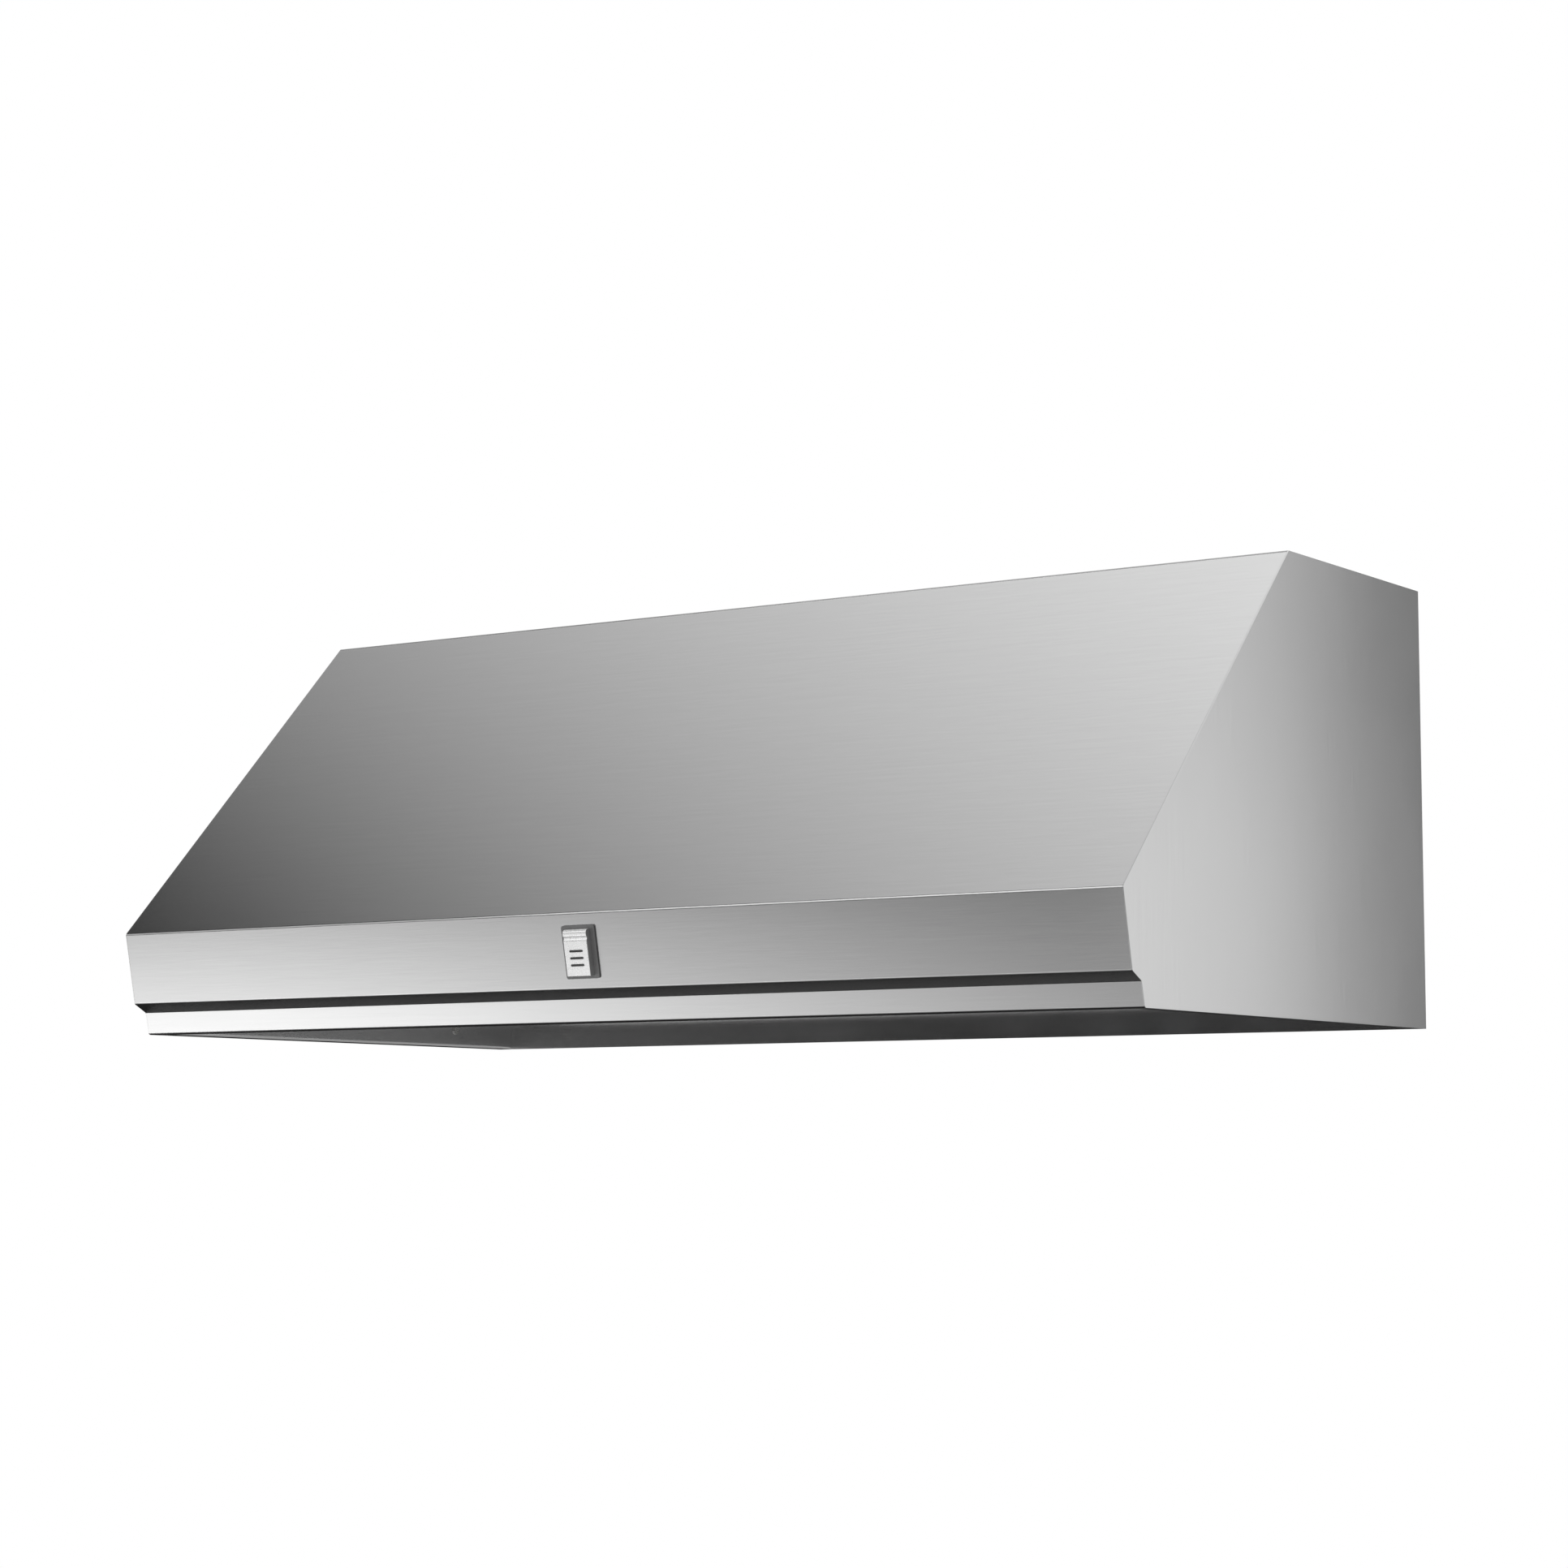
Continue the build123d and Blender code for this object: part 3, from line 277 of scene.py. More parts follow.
def merge_into(bm, part):
    """Adds a finished bmesh to another one."""
    mesh = bpy.data.meshes.new("part")
    part.to_mesh(mesh)
    part.free()
    bm.from_mesh(mesh)
    bpy.data.meshes.remove(mesh)


def only_verts(geometry):
    """The vertices among what an operator returns."""
    return [part for part in geometry if isinstance(part, bmesh.types.BMVert)]


def edges_across(bm):
    """Edges that lie square to X."""
    return [edge for edge in bm.edges if abs((edge.verts[0].co - edge.verts[1].co).x) < TINY]


def bevel(bm, geometry, offset, segments, affect="EDGES"):
    """Rounds edges, or the corners of a flat outline."""
    bmesh.ops.bevel(bm, geom=geometry, offset=offset, offset_type="OFFSET", segments=segments,
                    profile=0.5, affect=affect, material=-1, clamp_overlap=True)


def recalculate(bm):
    """Points every face outwards."""
    bmesh.ops.recalc_face_normals(bm, faces=bm.faces[:])


def rounded_box(size, centre, matrix, edge, corner=0.0, edge_segments=3):
    """Bmesh of a box with rounded upright corners and a softer rounding on its other edges."""
    bm = bmesh.new()
    bmesh.ops.create_cube(bm, size=1.0)
    bmesh.ops.scale(bm, vec=size, verts=bm.verts[:])
    if corner:
        uprights = [link for link in bm.edges
                    if (link.verts[0].co - link.verts[1].co).xy.length < TINY]
        bevel(bm, uprights, corner, 5)
    rims = [link for link in bm.edges if link.calc_face_angle(0) > radians(40)]
    bevel(bm, rims, edge, edge_segments)
    bmesh.ops.translate(bm, vec=centre, verts=bm.verts[:])
    bmesh.ops.transform(bm, matrix=matrix, verts=bm.verts[:])
    return bm


def outline(points):
    """Bmesh of one flat face through the points."""
    bm = bmesh.new()
    bm.faces.new([bm.verts.new(point) for point in points])
    return bm


def draw_out(bm, run):
    """Makes a flat outline a closed solid along run."""
    grown = bmesh.ops.extrude_face_region(bm, geom=bm.faces[:])["geom"]
    bmesh.ops.translate(bm, vec=run, verts=only_verts(grown))
    recalculate(bm)


def wire(points):
    """Bmesh of a chain of edges through the points."""
    bm = bmesh.new()
    verts = [bm.verts.new(point) for point in points]
    for pair in zip(verts, verts[1:]):
        bm.edges.new(pair)
    return bm


def folded_sheet(corners, run, thickness, bend, segments=6):
    """Bmesh of a bent sheet: its outer face passes the corners and is drawn out along run."""
    bm = wire(corners)
    first = bm.edges[:][0]
    grown = bmesh.ops.extrude_edge_only(bm, edges=bm.edges[:])["geom"]
    bmesh.ops.translate(bm, vec=run, verts=only_verts(grown))
    bm.normal_update()
    outward = (Vector(corners[1]) - Vector(corners[0])).cross(Vector(run))
    if first.link_faces[0].normal.dot(outward) < 0:
        bmesh.ops.reverse_faces(bm, faces=bm.faces[:])
    for fold in [edge for edge in bm.edges if len(edge.link_faces) == 2]:
        turn = fold.calc_face_angle_signed()
        radius = bend + thickness if turn > 0 else bend
        bevel(bm, [fold], radius * tan(abs(turn) / 2), segments)
    bmesh.ops.solidify(bm, geom=bm.faces[:], thickness=thickness)
    recalculate(bm)
    return bm


def turned_part(profile, matrix=Matrix.Identity(4), steps=64):
    """Bmesh of a profile of (radius, height) points spun a full turn about Z."""
    bm = wire([(radius, 0, height) for radius, height in profile])
    bmesh.ops.spin(bm, geom=bm.verts[:] + bm.edges[:], cent=(0, 0, 0), axis=(0, 0, 1),
                   angle=2 * pi, steps=steps, use_merge=True, use_duplicate=False)
    bmesh.ops.remove_doubles(bm, verts=bm.verts[:], dist=TINY)
    recalculate(bm)
    bmesh.ops.transform(bm, matrix=matrix, verts=bm.verts[:])
    return bm


# ---------------- finishes

FINISHES = {}


class Nodes:
    """Lays out the nodes of one tree."""

    def __init__(self, tree):
        self.tree = tree

    def node(self, kind, **fields):
        node = self.tree.nodes.new(kind)
        for field, value in fields.items():
            setattr(node, field, value)
        return node

    def link(self, source, target):
        self.tree.links.new(source, target)

    def join(self, operation, *values):
        """Arithmetic on some values; each may be a plain number."""
        node = self.node("ShaderNodeMath", operation=operation)
        for socket, value in zip(node.inputs, values):
            if isinstance(value, (int, float)):
                socket.default_value = value
            else:
                self.link(value, socket)
        return node.outputs["Value"]

    def remap(self, value, low, high, start=0.3, end=0.7, blend="LINEAR"):
        """The value's range from start to end, spread from low to high."""
        node = self.node("ShaderNodeMapRange", interpolation_type=blend)
        node.inputs["From Min"].default_value = start
        node.inputs["From Max"].default_value = end
        node.inputs["To Min"].default_value = low
        node.inputs["To Max"].default_value = high
        self.link(value, node.inputs["Value"])
        return node.outputs["Result"]

    def distance(self, position, direction):
        """How far a position lies along a direction."""
        dot = self.node("ShaderNodeVectorMath", operation="DOT_PRODUCT")
        dot.inputs[1].default_value = direction
        self.link(position, dot.inputs[0])
        return dot.outputs["Value"]


class Shader(Nodes):
    """The nodes of one material, round its Principled surface."""

    def __init__(self, name):
        self.material = bpy.data.materials.new(name)
        self.material.use_nodes = True
        super().__init__(self.material.node_tree)
        self.surface = self.tree.nodes["Principled BSDF"]

    def set(self, **values):
        """Plain numbers on the surface's own sockets."""
        for socket, value in values.items():
            self.surface.inputs[socket.replace("_", " ")].default_value = value

    def show(self, shader_output):
        """Sends this to the material's output."""
        self.link(shader_output, self.tree.nodes["Material Output"].inputs["Surface"])

    def coordinates(self, scale):
        """Object coordinates times a scale per metre, one for all axes or one for each."""
        source = self.node("ShaderNodeTexCoord")
        mapping = self.node("ShaderNodeMapping")
        mapping.inputs["Scale"].default_value = scale if isinstance(scale, tuple) else (scale,) * 3
        self.link(source.outputs["Object"], mapping.inputs["Vector"])
        return mapping.outputs["Vector"]

    def texture(self, kind, scale, fields, **inputs):
        """A texture on stretched object coordinates."""
        node = self.node(kind, **fields)
        for socket, value in {"Scale": 1.0, **inputs}.items():
            node.inputs[socket.replace("_", " ")].default_value = value
        self.link(self.coordinates(scale), node.inputs["Vector"])
        return node

    def noise(self, scale, detail=2.0, roughness=0.5, distortion=0.0):
        """Noise on stretched object coordinates."""
        return self.texture("ShaderNodeTexNoise", scale, {}, Detail=detail, Roughness=roughness,
                            Distortion=distortion).outputs["Fac"]

    def tint(self, factor, low, high):
        """Base colour from one colour to another."""
        node = self.node("ShaderNodeMix", data_type="RGBA")
        # the colour sockets come after the number and vector ones
        node.inputs[6].default_value = (*low, 1)
        node.inputs[7].default_value = (*high, 1)
        self.link(factor, node.inputs[0])
        self.link(node.outputs[2], self.surface.inputs["Base Color"])

    def mottle(self, value, rgb, dark, light, start=0.3, end=0.7):
        """Base colour from a darker to a lighter shade of one colour."""
        self.tint(self.remap(value, 0.0, 1.0, start, end), shade(rgb, dark), shade(rgb, light))

    def roughness(self, value):
        self.link(value, self.surface.inputs["Roughness"])

    def bump(self, height, millimetres):
        node = self.node("ShaderNodeBump")
        node.inputs["Strength"].default_value = 1.0
        node.inputs["Distance"].default_value = millimetres * MM
        self.link(height, node.inputs["Height"])
        self.link(node.outputs["Normal"], self.surface.inputs["Normal"])

    def grain_direction(self, axis):
        """Turns the highlights to lie across a grain along this object axis."""
        direction = self.node("ShaderNodeCombineXYZ")
        for index, share in enumerate(along(axis, 1.0, 0.0)):
            direction.inputs[index].default_value = share
        world = self.node("ShaderNodeVectorTransform", vector_type="VECTOR",
                          convert_from="OBJECT", convert_to="WORLD")
        self.link(direction.outputs["Vector"], world.inputs["Vector"])
        self.link(world.outputs["Vector"], self.surface.inputs["Tangent"])
        self.set(Anisotropic_Rotation=0.25)


def along(axis, lengthwise, crosswise):
    """Three values: one along an axis and another on the other two."""
    return tuple(lengthwise if index == axis else crosswise for index in range(3))


def shade(rgb, factor):
    """A colour made lighter or darker."""
    return tuple(min(1.0, channel * factor) for channel in rgb)


def brushed(name, rgb, axis, roughness=0.22, streak=0.03, anisotropy=0.55):
    """Satin sheet metal with its grain along one axis."""
    shader = Shader(name)
    lines = shader.noise(along(axis, 30.0, 1100.0), detail=3.0, roughness=0.6)
    bands = shader.noise(along(axis, 9.0, 330.0))
    cloud = shader.noise(5.0)
    mixed = shader.join("ADD", shader.join("MULTIPLY", lines, 0.65),
                        shader.join("MULTIPLY", bands, 0.35))
    shader.mottle(mixed, rgb, 1 - streak, 1 + streak)
    shader.roughness(shader.join("ADD", shader.remap(lines, roughness - 0.01, roughness + 0.01),
                                 shader.remap(cloud, -0.008, 0.008)))
    shader.bump(lines, 0.01)
    shader.set(Metallic=1.0, Anisotropic=anisotropy)
    shader.grain_direction(axis)
    return shader.material


def spangled(name, rgb, cell=90.0, roughness=0.36):
    """Zinc coated sheet: flat crystals that differ a little in brightness and gloss."""
    shader = Shader(name)
    crystals = shader.texture("ShaderNodeTexVoronoi", cell, {"feature": "F1"})
    grey = shader.node("ShaderNodeSeparateColor")
    shader.link(crystals.outputs["Color"], grey.inputs["Color"])
    dull = shader.noise(40.0, detail=4.0)
    mixed = shader.join("ADD", shader.join("MULTIPLY", grey.outputs[0], 0.5),
                        shader.join("MULTIPLY", dull, 0.5))
    shader.mottle(mixed, rgb, 0.86, 1.08, 0.2, 0.8)
    shader.roughness(shader.remap(mixed, roughness - 0.07, roughness + 0.08, 0.2, 0.8))
    shader.bump(dull, 0.03)
    shader.set(Metallic=1.0)
    return shader.material


def polished(name, rgb, roughness=0.1, scale=300.0, axis=None, metallic=1.0):
    """Bright metal with faint polishing marks."""
    shader = Shader(name)
    marks = shader.noise(along(axis, scale * 8, scale), detail=3.0)
    haze = shader.noise(30.0)
    shader.mottle(haze, rgb, 0.95, 1.04)
    shader.roughness(shader.join("ADD", shader.remap(marks, roughness * 0.7, roughness * 1.3),
                                 shader.remap(haze, 0.0, 0.03)))
    shader.bump(marks, 0.004)
    shader.set(Metallic=metallic)
    return shader.material


def cast(name, rgb, roughness=0.42):
    """Die cast metal: matt, with a fine even tooth."""
    shader = Shader(name)
    tooth = shader.noise(1400.0)
    shader.mottle(shader.noise(60.0, detail=3.0), rgb, 0.9, 1.05)
    shader.roughness(shader.remap(tooth, roughness - 0.06, roughness + 0.06))
    shader.bump(tooth, 0.04)
    shader.set(Metallic=1.0)
    return shader.material


def painted(name, rgb, roughness=0.38, peel=350.0):
    """Sprayed enamel with a slight peel and dust dulled patches."""
    shader = Shader(name)
    cloud = shader.noise(25.0, detail=4.0)
    shader.mottle(cloud, rgb, 0.8, 1.25)
    shader.roughness(shader.remap(cloud, roughness - 0.05, roughness + 0.08))
    shader.bump(shader.noise(peel), 0.06)
    shader.set(Specular_IOR_Level=0.5, Coat_Weight=0.15, Coat_Roughness=0.25)
    return shader.material


def moulded(name, rgb, roughness=0.5, tooth=1500.0):
    """Moulded plastic or rubber with a fine spark eroded texture."""
    shader = Shader(name)
    grain = shader.noise(tooth)
    shader.mottle(shader.noise(35.0, distortion=0.6), rgb, 0.92, 1.06)
    shader.roughness(shader.remap(grain, roughness - 0.06, roughness + 0.06))
    shader.bump(grain, 0.03)
    shader.set(Specular_IOR_Level=0.45)
    return shader.material


def laminated(name, rgb):
    """Stacked steel laminations across X under varnish."""
    shader = Shader(name)
    wave = shader.texture("ShaderNodeTexWave", 600.0,
                          {"wave_type": "BANDS", "bands_direction": "X"},
                          Distortion=0.4).outputs["Fac"]
    stain = shader.noise((50.0, 80.0, 80.0), detail=4.0)
    shader.tint(shader.join("MULTIPLY", wave, shader.remap(stain, 0.5, 1.0)),
                shade(rgb, 0.5), shade(rgb, 1.2))
    shader.roughness(shader.remap(stain, 0.35, 0.55))
    shader.bump(wave, 0.08)
    shader.set(Metallic=0.4, Coat_Weight=0.3, Coat_Roughness=0.2)
    return shader.material


def circuit(name, rgb):
    """Circuit laminate: solder mask over a pattern of copper runs."""
    shader = Shader(name)
    runs = shader.texture("ShaderNodeTexBrick", 140.0, {"offset": 0.35, "squash": 0.6},
                          Mortar_Size=0.06, Brick_Width=0.9, Row_Height=0.35,
                          Color1=(*shade(rgb, 0.9), 1), Color2=(*shade(rgb, 1.1), 1),
                          Mortar=(*shade(rgb, 1.7), 1))
    shader.link(runs.outputs["Color"], shader.surface.inputs["Base Color"])
    shader.roughness(shader.remap(shader.noise(900.0, detail=1.0), 0.28, 0.4))
    shader.bump(runs.outputs["Fac"], 0.03)
    shader.set(Specular_IOR_Level=0.5)
    return shader.material


def frosted(name, rgb):
    """Frosted lamp glass."""
    shader = Shader(name)
    etch = shader.noise(2200.0)
    shader.mottle(shader.noise(60.0), rgb, 0.96, 1.02)
    shader.roughness(shader.remap(etch, 0.3, 0.42))
    shader.bump(etch, 0.02)
    shader.set(IOR=1.45, Transmission_Weight=0.85)
    return shader.material


def make_finishes():
    """One material for each of the record's slots."""
    chosen = settings().finishes
    steel, liner = tuple(chosen.steel), tuple(chosen.liner_steel)
    zinc, aluminium = tuple(chosen.zinc), tuple(chosen.aluminium)
    black = tuple(chosen.black_paint)
    cream = (0.82, 0.81, 0.76)
    FINISHES.update({
        "brushed_stainless_front": brushed("satin_steel_front", steel, 0),
        "brushed_stainless_side": brushed("satin_steel_side", steel, 2, 0.19, anisotropy=0.3),
        "brushed_stainless_liner": brushed("satin_steel_liner", liner, 0, 0.22),
        # the back's steel is 0.8 of the liner's colour: painted shade for the dim inside of the
        # hood
        "stainless_back": brushed("back_steel_painted_shade", shade(liner, 0.8), 0, 0.17, 0.04, 0.0),
        "stainless_trough": brushed("satin_steel_trough", liner, 0, 0.24),
        "filter_channel": brushed("satin_steel_channel", steel, 0, 0.2),
        "filter_baffle": brushed("satin_steel_baffle", steel, 1, 0.24),
        "polished_rod": polished("polished_rod", (0.72, 0.72, 0.73), 0.1),
        "magnet_plating": polished("nickel_plating", (0.6, 0.58, 0.55), 0.16),
        "spring_steel": brushed("spring_steel", shade(liner, 0.8), 1, 0.3),
        "galvanised_sheet": spangled("galvanised_sheet", zinc),
        "wheel_steel": spangled("wheel_zinc", shade(zinc, 0.95), 220.0, 0.4),
        "motor_paint": painted("motor_enamel", black),
        "motor_laminations": laminated("varnished_laminations", (0.2, 0.16, 0.13)),
        "ground_shaft": polished("ground_steel", (0.62, 0.62, 0.63), 0.18, 200.0, 0),
        "capacitor_can": polished("drawn_can", aluminium, 0.25, 120.0, 0),
        "clip_plastic": moulded("natural_clip_plastic", cream, 0.45),
        "flap_aluminium": brushed("rolled_aluminium", aluminium, 0, 0.34, 0.05, 0.4),
        "terminal_plastic": moulded("terminal_plastic", shade(cream, 0.95), 0.4),
        "bushing_rubber": moulded("black_rubber", (0.025, 0.025, 0.025), 0.7, 900.0),
        "cable_sheath": moulded("cable_sheath", (0.035, 0.035, 0.037), 0.48, 700.0),
        "board_laminate": circuit("circuit_laminate", (0.02, 0.13, 0.06)),
        "dial_plate_paint": painted("dial_plate_enamel", shade(black, 1.4), 0.42, 500.0),
        "switch_plastic": moulded("switch_plastic", (0.04, 0.04, 0.042), 0.45),
        "knob_metal": polished("turned_knob_metal", aluminium, 0.22, 900.0),
        "lamp_can": cast("cast_lamp_can", shade(aluminium, 0.9)),
        "lamp_trim": polished("lamp_trim_metal", (0.74, 0.74, 0.75), 0.12),
        "lamp_glass": frosted("frosted_lamp_glass", (0.94, 0.95, 0.95)),
        "lamp_board": moulded("white_solder_mask", (0.86, 0.86, 0.82), 0.35, 600.0),
        "badge_dark": painted("badge_base_enamel", tuple(chosen.badge_base), 0.35, 800.0),
        "badge_bright": polished("badge_face_metal", tuple(chosen.badge_face), 0.3, 500.0,
                                 metallic=0.6),
        "badge_mark": painted("badge_mark_enamel", (0.02, 0.02, 0.02), 0.4, 900.0),
        "zinc_screws": polished("zinc_plated_screw", (0.6, 0.6, 0.58), 0.24, 700.0),
    })


# ---------------- operators


class RANGE_HOOD_OT_finishes(bpy.types.Operator):
    """Make the finishes and give each frame part the finish of its slot"""

    bl_idname = "range_hood.finishes"
    bl_label = "Finishes"

    def execute(self, context):
        make_finishes()
        for node in frame["nodes"].values():
            for slot in node.material_slots:
                slot.material = FINISHES[slot.material.name]
        return {"FINISHED"}


class RANGE_HOOD_OT_canopy(bpy.types.Operator):
    """Folded front: slope, nose band, shadow line, lip and hem in one sheet"""

    bl_idname = "range_hood.canopy"
    bl_label = "Canopy"

    def execute(self, context):
        sizes = settings().sheets
        roof = CANOPY_HIGH.z - RIM_Z
        flange_end = CANOPY_HIGH.y - FRONT_Y
        hem_end = sizes.lip_v + sizes.hem_width
        section = [(flange_end, roof), (flange_end - sizes.flange, roof), *front_folds(sizes),
                   (hem_end, 0), (hem_end, sizes.hem_height)]
        corners = [place(CANOPY_LOW.x, v, h) for v, h in section]
        run = (CANOPY_HIGH.x - CANOPY_LOW.x, 0, 0)
        bm = folded_sheet(corners, run, sizes.sheet, sizes.bend)
        add_piece("canopy_skin", bm, "brushed_stainless_front", replaced=["front_canopy"])
        return {"FINISHED"}


class RANGE_HOOD_OT_side_skins(bpy.types.Operator):
    """Flat side skins whose front edge follows the folded front"""

    bl_idname = "range_hood.side_skins"
    bl_label = "Side skins"

    def execute(self, context):
        sizes = settings().sheets
        slope_run = CANOPY_HIGH.y - FRONT_Y - sizes.flange
        slope_rise = CANOPY_HIGH.z - RIM_Z - sizes.nose
        outer = sizes.bend + sizes.sheet
        radii = [0, outer, outer, sizes.bend, outer, 0, 0]
        for side in ("left", "right"):
            low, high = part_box(f"side_panel_{side}")
            back, roof = high.y - FRONT_Y, high.z - RIM_Z
            top_v = slope_run * (roof - sizes.nose) / slope_rise
            section = [(top_v, roof), *front_folds(sizes), (back, 0), (back, roof)]
            bm = outline([place(low.x, v, h) for v, h in section])
            for vert, radius in zip(bm.verts[:], radii):
                if radius:
                    bevel(bm, [vert], radius * tan(vert.calc_edge_angle(0) / 2), 5, "VERTICES")
            draw_out(bm, (high.x - low.x, 0, 0))
            bevel(bm, edges_across(bm), sizes.rim_bevel, 2)
            add_piece(f"side_skin_{side}", bm, "brushed_stainless_side",
                      replaced=[f"side_panel_{side}"])
        return {"FINISHED"}


class RANGE_HOOD_OT_badge(bpy.types.Operator):
    """Plain badge: dark base, bright block with a rolled top and a mark of bars"""

    bl_idname = "range_hood.badge"
    bl_label = "Badge"

    def execute(self, context):
        sizes, sheets = settings().badge, settings().sheets
        low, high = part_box("badge_base")
        lean = Vector((0, sheets.band_foot_v, sheets.band_foot_h - sheets.nose)).normalized()
        outward = lean.cross(Vector((1, 0, 0)))
        local = turned((low + high) / 2 - outward * sizes.base_depth / 2, (1, 0, 0), outward)
        height = (high.z - low.z - sizes.base_depth * abs(outward.z)) / abs(lean.z)

        plate = rounded_box((high.x - low.x, height, sizes.base_depth),
                            (0, 0, sizes.base_depth / 2), local, edge=0.3 * MM,
                            corner=sizes.base_corner)
        side = sizes.block_width / 2
        # dark slices in the base's finish at both sides of the block: painted shade on its side
        # faces
        for start in (-side, side - sizes.shade_slice):
            merge_into(plate, self.block(sizes, local, start, sizes.shade_slice))
        add_piece("badge_plate", plate, "badge_dark", replaced=["badge_base"])

        face = self.block(sizes, local, sizes.shade_slice - side, 2 * (side - sizes.shade_slice))
        add_piece("badge_face", face, "badge_bright", replaced=["badge_block"])

        mark = bmesh.new()
        z = sizes.base_depth + sizes.block_depth + sizes.bar_depth / 2
        for number in range(sizes.bar_count):
            y = sizes.first_bar - number * sizes.bar_pitch
            merge_into(mark, rounded_box((sizes.bar_length, sizes.bar_width, sizes.bar_depth),
                                         (0, y, z), local, edge=0.12 * MM,
                                         corner=0.45 * sizes.bar_width))
        add_piece("badge_mark", mark, "badge_mark", replaced=["badge_emblem"])
        return {"FINISHED"}

    def block(self, sizes, local, start, width):
        """Slice of the block, swept across the badge from its side section."""
        half, depth, groove = sizes.block_height / 2, sizes.block_depth, sizes.groove
        groove_y = half - sizes.groove_drop
        soft = 0.4 * groove
        # along and up, then the radius of the corner's rounding and its number of steps
        section = [(-half, 0, 0, 0), (-half, depth, 0.5 * MM, 3),
                   (groove_y - groove, depth, soft, 4),
                   (groove_y, depth - sizes.groove_depth, soft, 4),
                   (groove_y + groove, depth, soft, 4), (half, depth, sizes.roll, 8),
                   (half, 0, 0, 0)]
        bm = outline([(start, y, z + sizes.base_depth) for y, z, *_ in section])
        corners = bm.verts[:]
        draw_out(bm, (width, 0, 0))
        for vert, (*_, radius, steps) in zip(corners, section):
            if radius:
                flat = edges_across(bm)
                bevel(bm, [edge for edge in vert.link_edges if edge not in flat], radius, steps)
        ends = [edge for edge in edges_across(bm) if edge.calc_face_angle(0) > radians(60)
                and min(vert.co.z for vert in edge.verts) > sizes.base_depth + TINY]
        bevel(bm, ends, min(0.4 * MM, width / 4), 3)
        bmesh.ops.transform(bm, matrix=local, verts=bm.verts[:])
        return bm


class RANGE_HOOD_OT_filters(bpy.types.Operator):
    """Baffle filters: rolled channel frames around two facing rows of channels"""

    bl_idname = "range_hood.filters"
    bl_label = "Filters"

    def execute(self, context):
        sizes = settings().filters
        upward = (0, sin(sizes.incline), cos(sizes.incline))
        for number in (1, 2, 3):
            local = turned(JOINTS[f"filter_{number}_swing"]["pos_m"], (1, 0, 0), upward)
            low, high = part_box(f"filter_frame_{number}")
            width = high.x - low.x
            for name, bm, finish, replaced in (
                    ("channel", self.channel(sizes, width), "filter_channel", "frame"),
                    ("grille", self.grille(sizes, width), "filter_baffle", "baffles")):
                bmesh.ops.transform(bm, matrix=local, verts=bm.verts[:])
                add_piece(f"filter_{name}_{number}", bm, finish, f"filter_{number}",
                          [f"filter_{replaced}_{number}"])
        return {"FINISHED"}

    def channel(self, sizes, width):
        """Channel section carried round the filter's edge, with the rear hook."""
        lip = sizes.lip
        length_y = sizes.reach + lip
        bm = bmesh.new()
        bmesh.ops.create_grid(bm, x_segments=1, y_segments=1, size=0.5)
        bmesh.ops.scale(bm, vec=(width, length_y, 1), verts=bm.verts[:])
        bevel(bm, bm.verts[:], sizes.corner, 4, "VERTICES")
        outer = [edge for edge in bm.edges if edge.is_boundary]
        inner_face = bm.faces[:]
        bmesh.ops.inset_region(bm, faces=inner_face, thickness=lip, depth=0.0,
                               use_even_offset=True)
        bmesh.ops.delete(bm, geom=inner_face, context="FACES_ONLY")
        bmesh.ops.translate(bm, vec=(0, 0, sizes.thickness), verts=bm.verts[:])
        wall = bmesh.ops.extrude_edge_only(bm, edges=outer)["geom"]
        bmesh.ops.translate(bm, vec=(0, 0, -sizes.thickness), verts=only_verts(wall))
        foot = [part for part in wall
                if isinstance(part, bmesh.types.BMEdge) and part.is_boundary]
        low_lip = bmesh.ops.extrude_edge_only(bm, edges=foot)["geom"]
        shrink = ((width - 2 * lip) / width, (length_y - 2 * lip) / length_y, 1)
        bmesh.ops.scale(bm, vec=shrink, verts=only_verts(low_lip))
        rims = [edge for edge in bm.edges
                if not edge.is_boundary and edge.calc_face_angle(0) > radians(60)]
        bevel(bm, rims, sizes.fold, 4)
        recalculate(bm)
        bmesh.ops.solidify(bm, geom=bm.faces[:], thickness=sizes.skin)
        bmesh.ops.translate(bm, vec=(0, (lip - sizes.reach) / 2, sizes.base), verts=bm.verts[:])
        drop = sizes.base + sizes.hook_drop
        merge_into(bm, rounded_box((width - 2 * sizes.hook_gap, sizes.hook_sheet, drop),
                                   (0, sizes.bead + sizes.hook_sheet, sizes.base - drop / 2),
                                   Matrix.Identity(4), edge=0.3 * MM))
        return bm

    def grille(self, sizes, width):
        """Low and high rows of channels that face each other, tied by a strip at each end."""
        skin, pitch, half = sizes.skin, sizes.baffle_pitch, sizes.baffle_width / 2
        low = sizes.base + skin
        high = sizes.base + sizes.thickness - skin
        run = sizes.reach + sizes.lip - 2 * skin - sizes.end_gap
        middle = (sizes.lip - sizes.reach) / 2
        count = int((width - 2 * skin - sizes.baffle_width) / pitch + TINY) + 1
        bm = bmesh.new()
        for row, web, leg in ((count, low, sizes.baffle_leg), (count - 1, high, -sizes.baffle_leg)):
            for number in range(row):
                x = (number - (row - 1) / 2) * pitch
                section = [(x - half, web + leg), (x - half, web), (x + half, web),
                           (x + half, web + leg)]
                if leg > 0:
                    section.reverse()
                corners = [(px, middle - run / 2, pz) for px, pz in section]
                merge_into(bm, folded_sheet(corners, (0, run, 0), skin, sizes.baffle_bend, 4))
        span = (count - 1) * pitch + sizes.baffle_width
        for side in (-1, 1):
            y = middle + side * (run - skin) / 2
            merge_into(bm, rounded_box((span, skin, high - low), (0, y, (low + high) / 2),
                                       Matrix.Identity(4), edge=0.15 * MM, edge_segments=2))
        return bm


